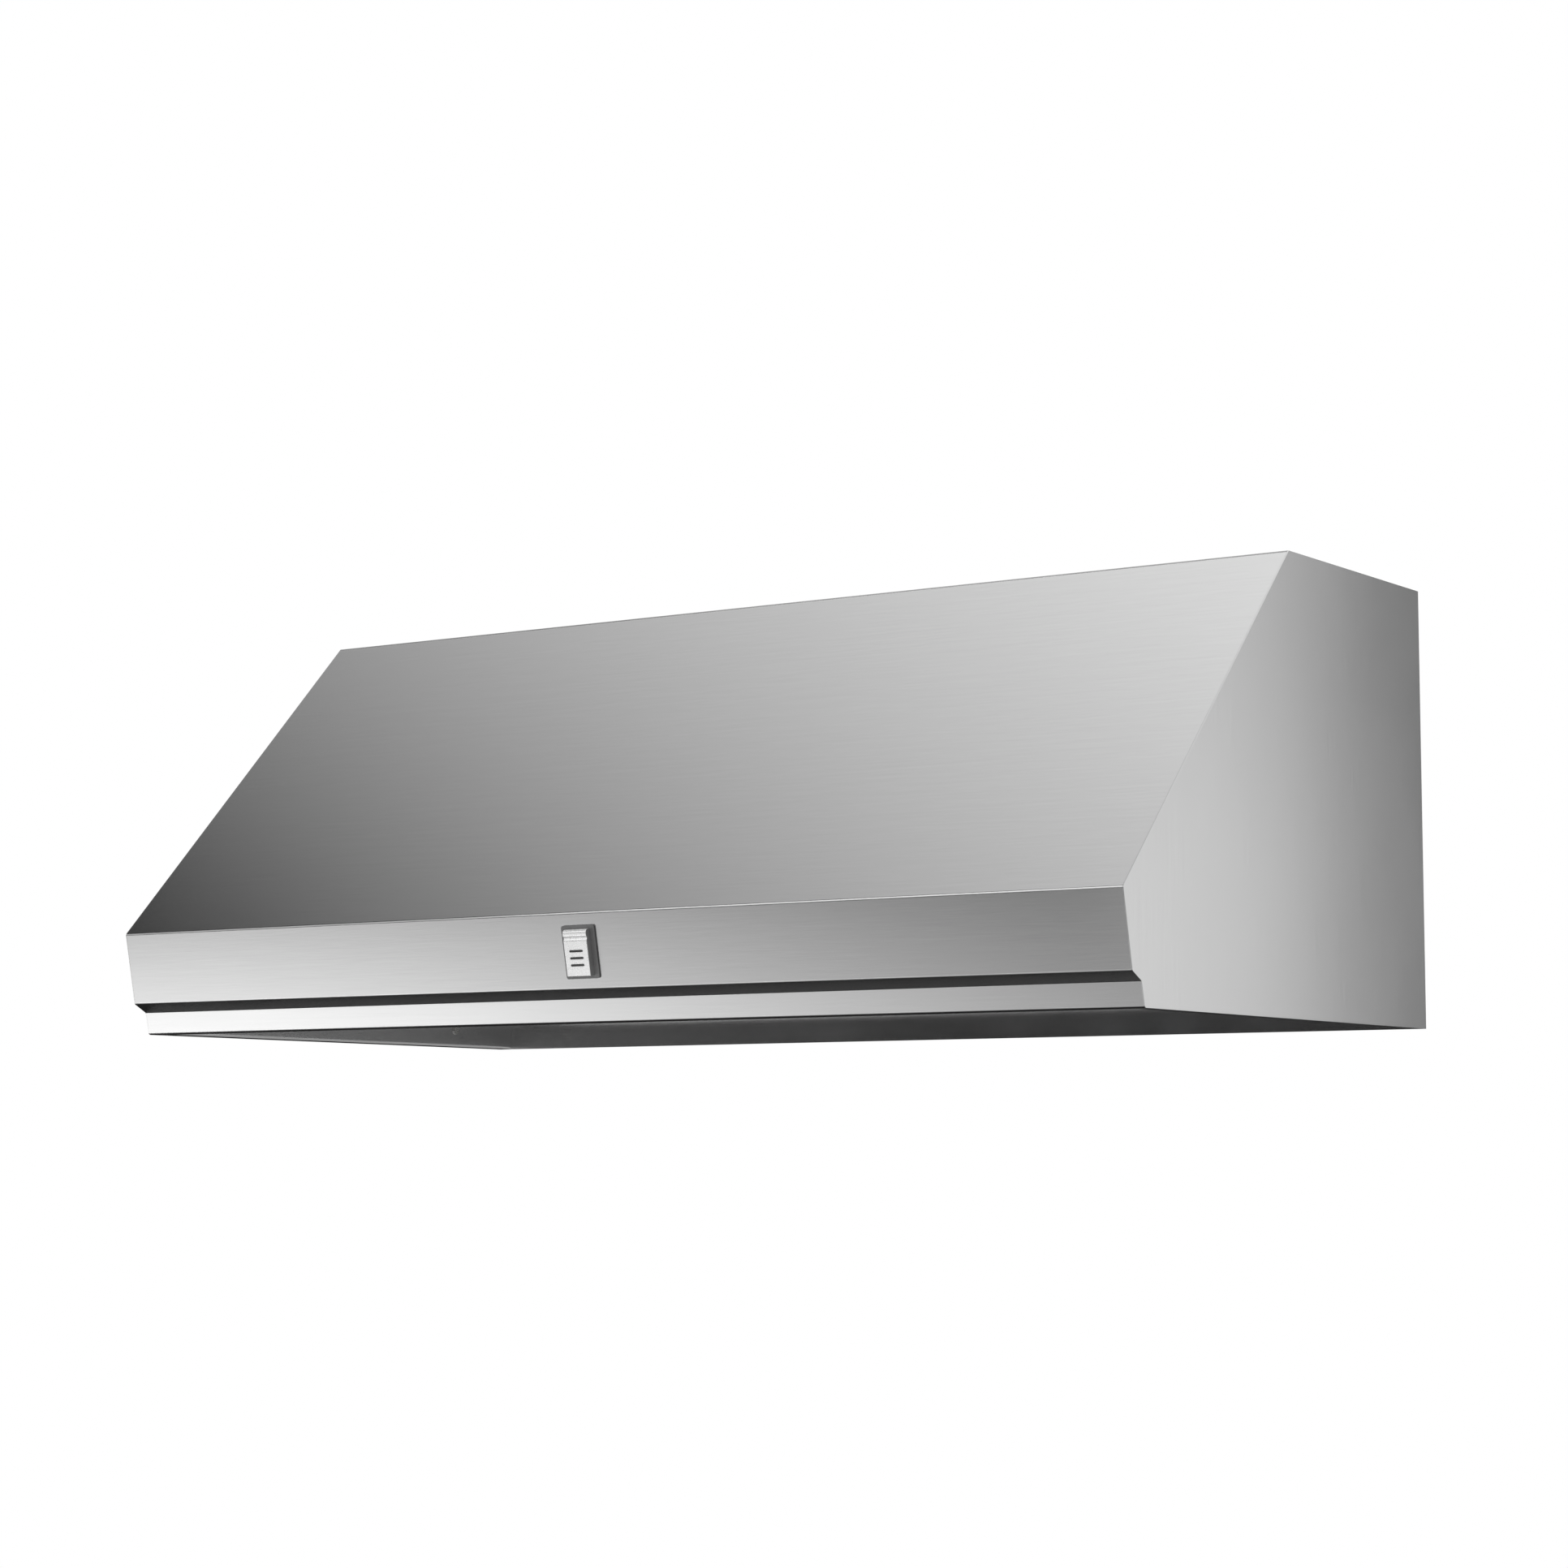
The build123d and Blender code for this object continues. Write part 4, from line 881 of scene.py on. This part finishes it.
class RANGE_HOOD_OT_lamps(bpy.types.Operator):
    """Lamp trim rings and ringed lenses in the control strip"""

    bl_idname = "range_hood.lamps"
    bl_label = "Lamps"

    # the ring's cove: share of its width, share of its depth
    COVE = ((0.35, 0.62), (0.5, 0.72), (0.7, 0.7), (0.85, 0.55), (0.95, 0.35), (1.0, 0.15))

    def execute(self, context):
        sizes = settings().lamps
        low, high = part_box("lamp_bezels")
        outer = (high.y - low.y) / 2
        far = high.x - outer
        near = far * sizes.inner_ratio
        inner = outer - sizes.rim
        depth = high.z - low.z
        trims, lenses = bmesh.new(), bmesh.new()
        for x in (-far, -near, near, far):
            spot = Matrix.Translation((x, (low.y + high.y) / 2, high.z))
            merge_into(trims, turned_part(self.trim(inner, outer, depth), spot))
            merge_into(lenses, turned_part(self.lens(sizes, inner, depth), spot))
        add_piece("lamp_trims", trims, "lamp_trim", replaced=["lamp_bezels"])
        add_piece("lamp_covers", lenses, "lamp_glass", replaced=["lamp_lenses"])
        return {"FINISHED"}

    def trim(self, inner, outer, depth):
        """Section of the ring: a rounded inner bead, a shallow cove and a thin outer edge."""
        bead = 0.45 * depth
        profile = [(inner, 0), (inner, bead - depth)]
        for step in range(1, 6):
            angle = pi * step / 6
            profile.append((inner + bead * (1 - cos(angle)), bead * (1 - sin(angle)) - depth))
        for share, drop in self.COVE:
            profile.append((inner + (outer - inner) * share, -depth * drop))
        return profile + [(outer, 0), (inner, 0)]

    def lens(self, sizes, radius, depth):
        """Section of the lens: a shallow dome with pressed rings, flat inside."""
        face, dome = -0.95 * depth, 0.3 * depth
        steps = 6 * sizes.ring_count
        profile = [(0, 0), (0, face)]
        for step in range(1, steps):
            share = step / steps
            ripple = sizes.ring_depth * (0.5 - 0.5 * cos(2 * pi * sizes.ring_count * share))
            profile.append((radius * share, face + ripple + dome * share * share))
        return profile + [(radius, face + dome), (radius, 0), (0, 0)]


class RANGE_HOOD_OT_controls(bpy.types.Operator):
    """Fluted knobs with a pointer line, over dial plates with index marks"""

    bl_idname = "range_hood.controls"
    bl_label = "Controls"

    def execute(self, context):
        sizes = settings().controls
        low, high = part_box("knob_plates")
        plates, marks = bmesh.new(), bmesh.new()
        for name in ("fan_knob", "light_knob"):
            foot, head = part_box(name)
            centre = (foot + head) / 2
            radius, height = (head.x - foot.x) / 2, head.z - foot.z
            body = JOINTS[f"{name}_turn"]["child"]
            spot = Matrix.Translation((centre.x, centre.y, foot.z))
            grip = turned_part(self.knob(sizes, radius, height), steps=8 * sizes.flute_count)
            self.flute(grip, sizes, radius, height)
            bmesh.ops.transform(grip, matrix=spot, verts=grip.verts[:])
            add_piece(f"{name}_grip", grip, "knob_metal", body, [name])
            pointer = rounded_box((sizes.pointer, 0.6 * radius, 1.5 * sizes.dish),
                                  (0, 0.45 * radius, 0.75 * sizes.dish), spot,
                                  edge=0.1 * MM, corner=0.45 * sizes.pointer)
            add_piece(f"{name}_pointer", pointer, "dial_plate_paint", body)
            self.dial(sizes, plates, marks, (high.y - low.y) / 2, high.z - low.z,
                      Matrix.Translation((centre.x, centre.y, high.z)))
        add_piece("dial_plates", plates, "dial_plate_paint", replaced=["knob_plates"])
        add_piece("dial_marks", marks, "knob_metal")
        return {"FINISHED"}

    def knob(self, sizes, radius, height):
        """Section of a knob from the middle of its face, round grip and skirt, into its pocket."""
        rounding, draft, rim, cap = 1.2 * MM, 0.4 * MM, 0.4 * MM, 4 * MM
        grip = radius - sizes.waist
        face = grip - rounding - draft
        shoulder = height - sizes.skirt
        profile = [(0, sizes.dish), (face - 2.4 * MM, sizes.dish),
                   (face - 1.6 * MM, 0.6 * sizes.dish), (face - MM, 0)]
        for step in range(5):
            angle = pi / 2 * step / 4
            profile.append((face + rounding * sin(angle), rounding * (1 - cos(angle))))
        for share in (0.14, 0.2, 0.4, 0.6, 0.76, 0.84):
            profile.append((face + rounding + draft * share, height * share))
        for share in (0.0, 0.3, 0.7, 1.0):
            sweep = 0.5 - 0.5 * cos(pi * share)
            profile.append((grip + sizes.waist * sweep, shoulder - 1.5 * MM * (1 - share)))
        return profile + [(radius, height - rim), (radius - rim, height), (sizes.pocket, height),
                          (sizes.pocket, shoulder), (sizes.bore, shoulder), (sizes.bore, cap),
                          (0, cap)]

    def flute(self, bm, sizes, radius, height):
        """Presses rounded flutes into the grip, fading out at both its ends."""
        start, end, fade = 1.8 * MM, height - sizes.skirt - 1.2 * MM, 2.5 * MM
        for vert in bm.verts:
            out = vert.co.xy
            rise = min(vert.co.z - start, end - vert.co.z)
            if rise <= 0 or out.length < radius / 2:
                continue
            angle = atan2(out.y, out.x)
            wave = 0.5 - 0.5 * cos(sizes.flute_count * angle)
            cut = sizes.flute_depth * min(1.0, rise / fade) * wave ** 1.5
            vert.co.x -= cut * cos(angle)
            vert.co.y -= cut * sin(angle)
        recalculate(bm)

    def dial(self, sizes, plates, marks, radius, thickness, spot):
        """One plate with a soft edge and its ring of marks."""
        proud = 0.2 * MM
        face = proud - thickness
        profile = [(sizes.plate_bore, 0), (sizes.plate_bore, face), (radius - 1.2 * MM, face),
                   (radius - 0.5 * MM, face + 0.08 * MM), (radius - 0.1 * MM, face + 0.35 * MM),
                   (radius, face + 0.6 * MM), (radius, 0), (sizes.plate_bore, 0)]
        merge_into(plates, turned_part(profile, spot, 96))
        reach = radius - sizes.mark_inset - sizes.mark_length / 2
        for number in range(sizes.mark_count):
            turn = sizes.first_mark - number * sizes.sweep / (sizes.mark_count - 1)
            merge_into(marks, rounded_box((sizes.mark_length, sizes.mark_width, 2 * proud),
                                          (reach, 0, face), spot @ Matrix.Rotation(turn, 4, "Z"),
                                          edge=0.08 * MM, corner=0.4 * sizes.mark_width))


class RANGE_HOOD_OT_studio(bpy.types.Operator):
    """Pale floor, softboxes, even surroundings and the camera"""

    bl_idname = "range_hood.studio"
    bl_label = "Studio"

    def execute(self, context):
        studio = settings().studio
        context.scene.view_settings.view_transform = "Standard"
        self.surroundings(context.scene)
        self.floor(studio)
        self.softboxes()
        self.camera(context.scene, studio)
        return {"FINISHED"}

    def surroundings(self, scene):
        """White behind the object; in its reflections a soft room, dark low at the back left."""
        scene.world = bpy.data.worlds.new("studio_room")
        scene.world.use_nodes = True
        room = Nodes(scene.world.node_tree)
        room.tree.nodes.clear()
        direction = room.node("ShaderNodeTexCoord").outputs["Generated"]

        def lobe(towards, inner, outer):
            """1 inside the inner angle round a direction, falling to 0 at the outer angle."""
            dot = room.distance(direction, Vector(towards).normalized())
            return room.remap(dot, 0.0, 1.0, cos(radians(outer)), cos(radians(inner)),
                              "SMOOTHSTEP")

        bright = room.join("MULTIPLY_ADD", lobe((0, 0, 1), 10, 95), 0.5, 0.5)
        corner = room.join("MULTIPLY", lobe((-0.58, 0.5, -0.62), 36, 62),
                           lobe((-1, 0, 0), 69, 83))
        dark = room.join("MULTIPLY", corner, 0.97)
        reflected, plain = [room.node("ShaderNodeBackground") for _ in range(2)]
        for background in (reflected, plain):
            background.inputs["Color"].default_value = (1, 1, 1, 1)
            background.inputs["Strength"].default_value = 1.0
        room.link(room.join("MULTIPLY", bright, room.join("SUBTRACT", 1.0, dark)),
                  reflected.inputs["Strength"])
        path = room.node("ShaderNodeLightPath")
        chosen = room.node("ShaderNodeMixShader")
        room.link(room.join("MAXIMUM", path.outputs["Is Camera Ray"],
                            path.outputs["Is Diffuse Ray"]), chosen.inputs["Fac"])
        room.link(reflected.outputs["Background"], chosen.inputs[1])
        room.link(plain.outputs["Background"], chosen.inputs[2])
        room.link(chosen.outputs["Shader"], room.node("ShaderNodeOutputWorld").inputs["Surface"])

    def floor(self, studio):
        """Pale disc on the ground far under the hood, clear when seen from below."""
        bm = bmesh.new()
        bmesh.ops.create_circle(bm, cap_ends=True, segments=96, radius=studio.floor_radius)
        bmesh.ops.translate(bm, vec=(0, 0, RIM_Z - studio.floor_drop), verts=bm.verts[:])
        recalculate(bm)
        if bm.faces[:][0].normal.z < 0:
            bmesh.ops.reverse_faces(bm, faces=bm.faces[:])
        shader = Shader("pale_floor")
        cloud = shader.noise(0.6, detail=3.0)
        shader.mottle(cloud, (1, 1, 1), 0.86, 0.9)
        shader.roughness(shader.remap(cloud, 0.85, 0.95))
        shader.set(Specular_IOR_Level=0.1)
        chosen = shader.node("ShaderNodeMixShader")
        sources = (shader.node("ShaderNodeNewGeometry").outputs["Backfacing"],
                   shader.surface.outputs["BSDF"],
                   shader.node("ShaderNodeBsdfTransparent").outputs["BSDF"])
        for source, socket in zip(sources, chosen.inputs):
            shader.link(source, socket)
        shader.show(chosen.outputs["Shader"])
        floor = self.stage_object("floor", bm, shader.material)
        floor.visible_glossy = False

    def softboxes(self):
        """Four large cards whose light fades across them."""
        self.card("overhead_softbox", (-0.4, -0.1, 1.0), (4.4, 3.0), facing=(0, 0, -1),
                  fades=[((0.43, 0.6, 0), -1.1, 0.1, 0.0, 1.2)])
        self.card("front_softbox", (-1.8, -2.0, -1.1), (3.2, 1.8), facing=(0, 1, 0),
                  fades=[((-1, 0, 0), 0.2, 2.0, 0.28, 1.15), ((0, 0, -1), 0.9, 1.2, 1.08, 1.8),
                         ((0, 0, -1), 0.7, 0.9, 0.03, 1.0)])
        self.card("fold_softbox", (-0.6, -1.7, 0.75), (1.5, 0.9), facing=(0.3, 0.8, -0.55),
                  fades=[((0, 0, 1), 0.3, 0.6, 1.6, 1.6)])
        self.card("side_softbox", (2.8, 2.0, 0.2), (3.4, 3.6), facing=(0, -1, 0),
                  fades=[((1, 0, 0), 1.56, 1.67, 0.16, 1.05),
                         ((0, 0, 1), -0.1, 0.3, 1.0, 0.86)])

    def card(self, name, centre, size, facing, fades):
        """Glowing rectangle. A fade is a direction, two distances along it and two levels."""
        bm = bmesh.new()
        bmesh.ops.create_grid(bm, x_segments=1, y_segments=1, size=0.5)
        bmesh.ops.scale(bm, vec=(*size, 1), verts=bm.verts[:])
        bmesh.ops.transform(bm, matrix=turned(centre, (1, 0, 0), facing), verts=bm.verts[:])
        shader = Shader(name)
        position = shader.node("ShaderNodeTexCoord").outputs["Object"]
        level = 1.0
        for direction, start, end, low, high in fades:
            share = shader.remap(shader.distance(position, direction), low, high, start, end)
            level = shader.join("MULTIPLY", share, level)
        glow = shader.node("ShaderNodeEmission")
        shader.link(level, glow.inputs["Strength"])
        shader.show(glow.outputs["Emission"])
        card = self.stage_object(name, bm, shader.material)
        card.visible_camera = False
        card.visible_shadow = False

    def stage_object(self, name, bm, material):
        """Object for the studio; unlike a piece, it rides on no body."""
        stage = linked_object(name, bm, material)
        return stage

    def camera(self, scene, studio):
        """Camera at the front right, a little below the hood."""
        data = bpy.data.cameras.new("studio_camera")
        data.lens = studio.lens
        data.sensor_width = 36.0
        data.clip_start, data.clip_end = 0.05, 60.0
        camera = bpy.data.objects.new("studio_camera", data)
        camera.location = studio.camera_place
        camera.rotation_euler = (pi / 2 + studio.camera_pitch, 0, studio.camera_yaw)
        scene.collection.objects.link(camera)
        scene.camera = camera


class RANGE_HOOD_PT_parts(bpy.types.Panel):
    """Builds the range hood's pieces one by one"""

    bl_idname = "RANGE_HOOD_PT_parts"
    bl_label = "Range Hood"
    bl_space_type = "VIEW_3D"
    bl_region_type = "UI"
    bl_category = "Range Hood"

    def draw(self, context):
        for operator in OPERATORS:
            self.layout.operator(operator.bl_idname)
        for group in RangeHoodSettings.__annotations__:
            box = self.layout.box()
            box.label(text=group.capitalize())
            values = getattr(settings(), group)
            for name in values.__annotations__:
                box.prop(values, name)


GROUPS = (SheetSettings, BadgeSettings, FilterSettings, LampSettings, ControlSettings,
          FinishSettings, StudioSettings, RangeHoodSettings)
OPERATORS = (RANGE_HOOD_OT_finishes, RANGE_HOOD_OT_canopy, RANGE_HOOD_OT_side_skins,
             RANGE_HOOD_OT_badge, RANGE_HOOD_OT_filters, RANGE_HOOD_OT_lamps,
             RANGE_HOOD_OT_controls, RANGE_HOOD_OT_studio)
CLASSES = (*GROUPS, *OPERATORS, RANGE_HOOD_PT_parts)


def register():
    for made in CLASSES:
        bpy.utils.register_class(made)
    bpy.types.Scene.range_hood = PointerProperty(type=RangeHoodSettings)


def unregister():
    del bpy.types.Scene.range_hood
    for made in reversed(CLASSES):
        bpy.utils.unregister_class(made)


def main():
    """Builds everything in order."""
    register()
    for operator in OPERATORS:
        group, name = operator.bl_idname.split(".")
        getattr(getattr(bpy.ops, group), name)()


if __name__ == "__main__":
    main()
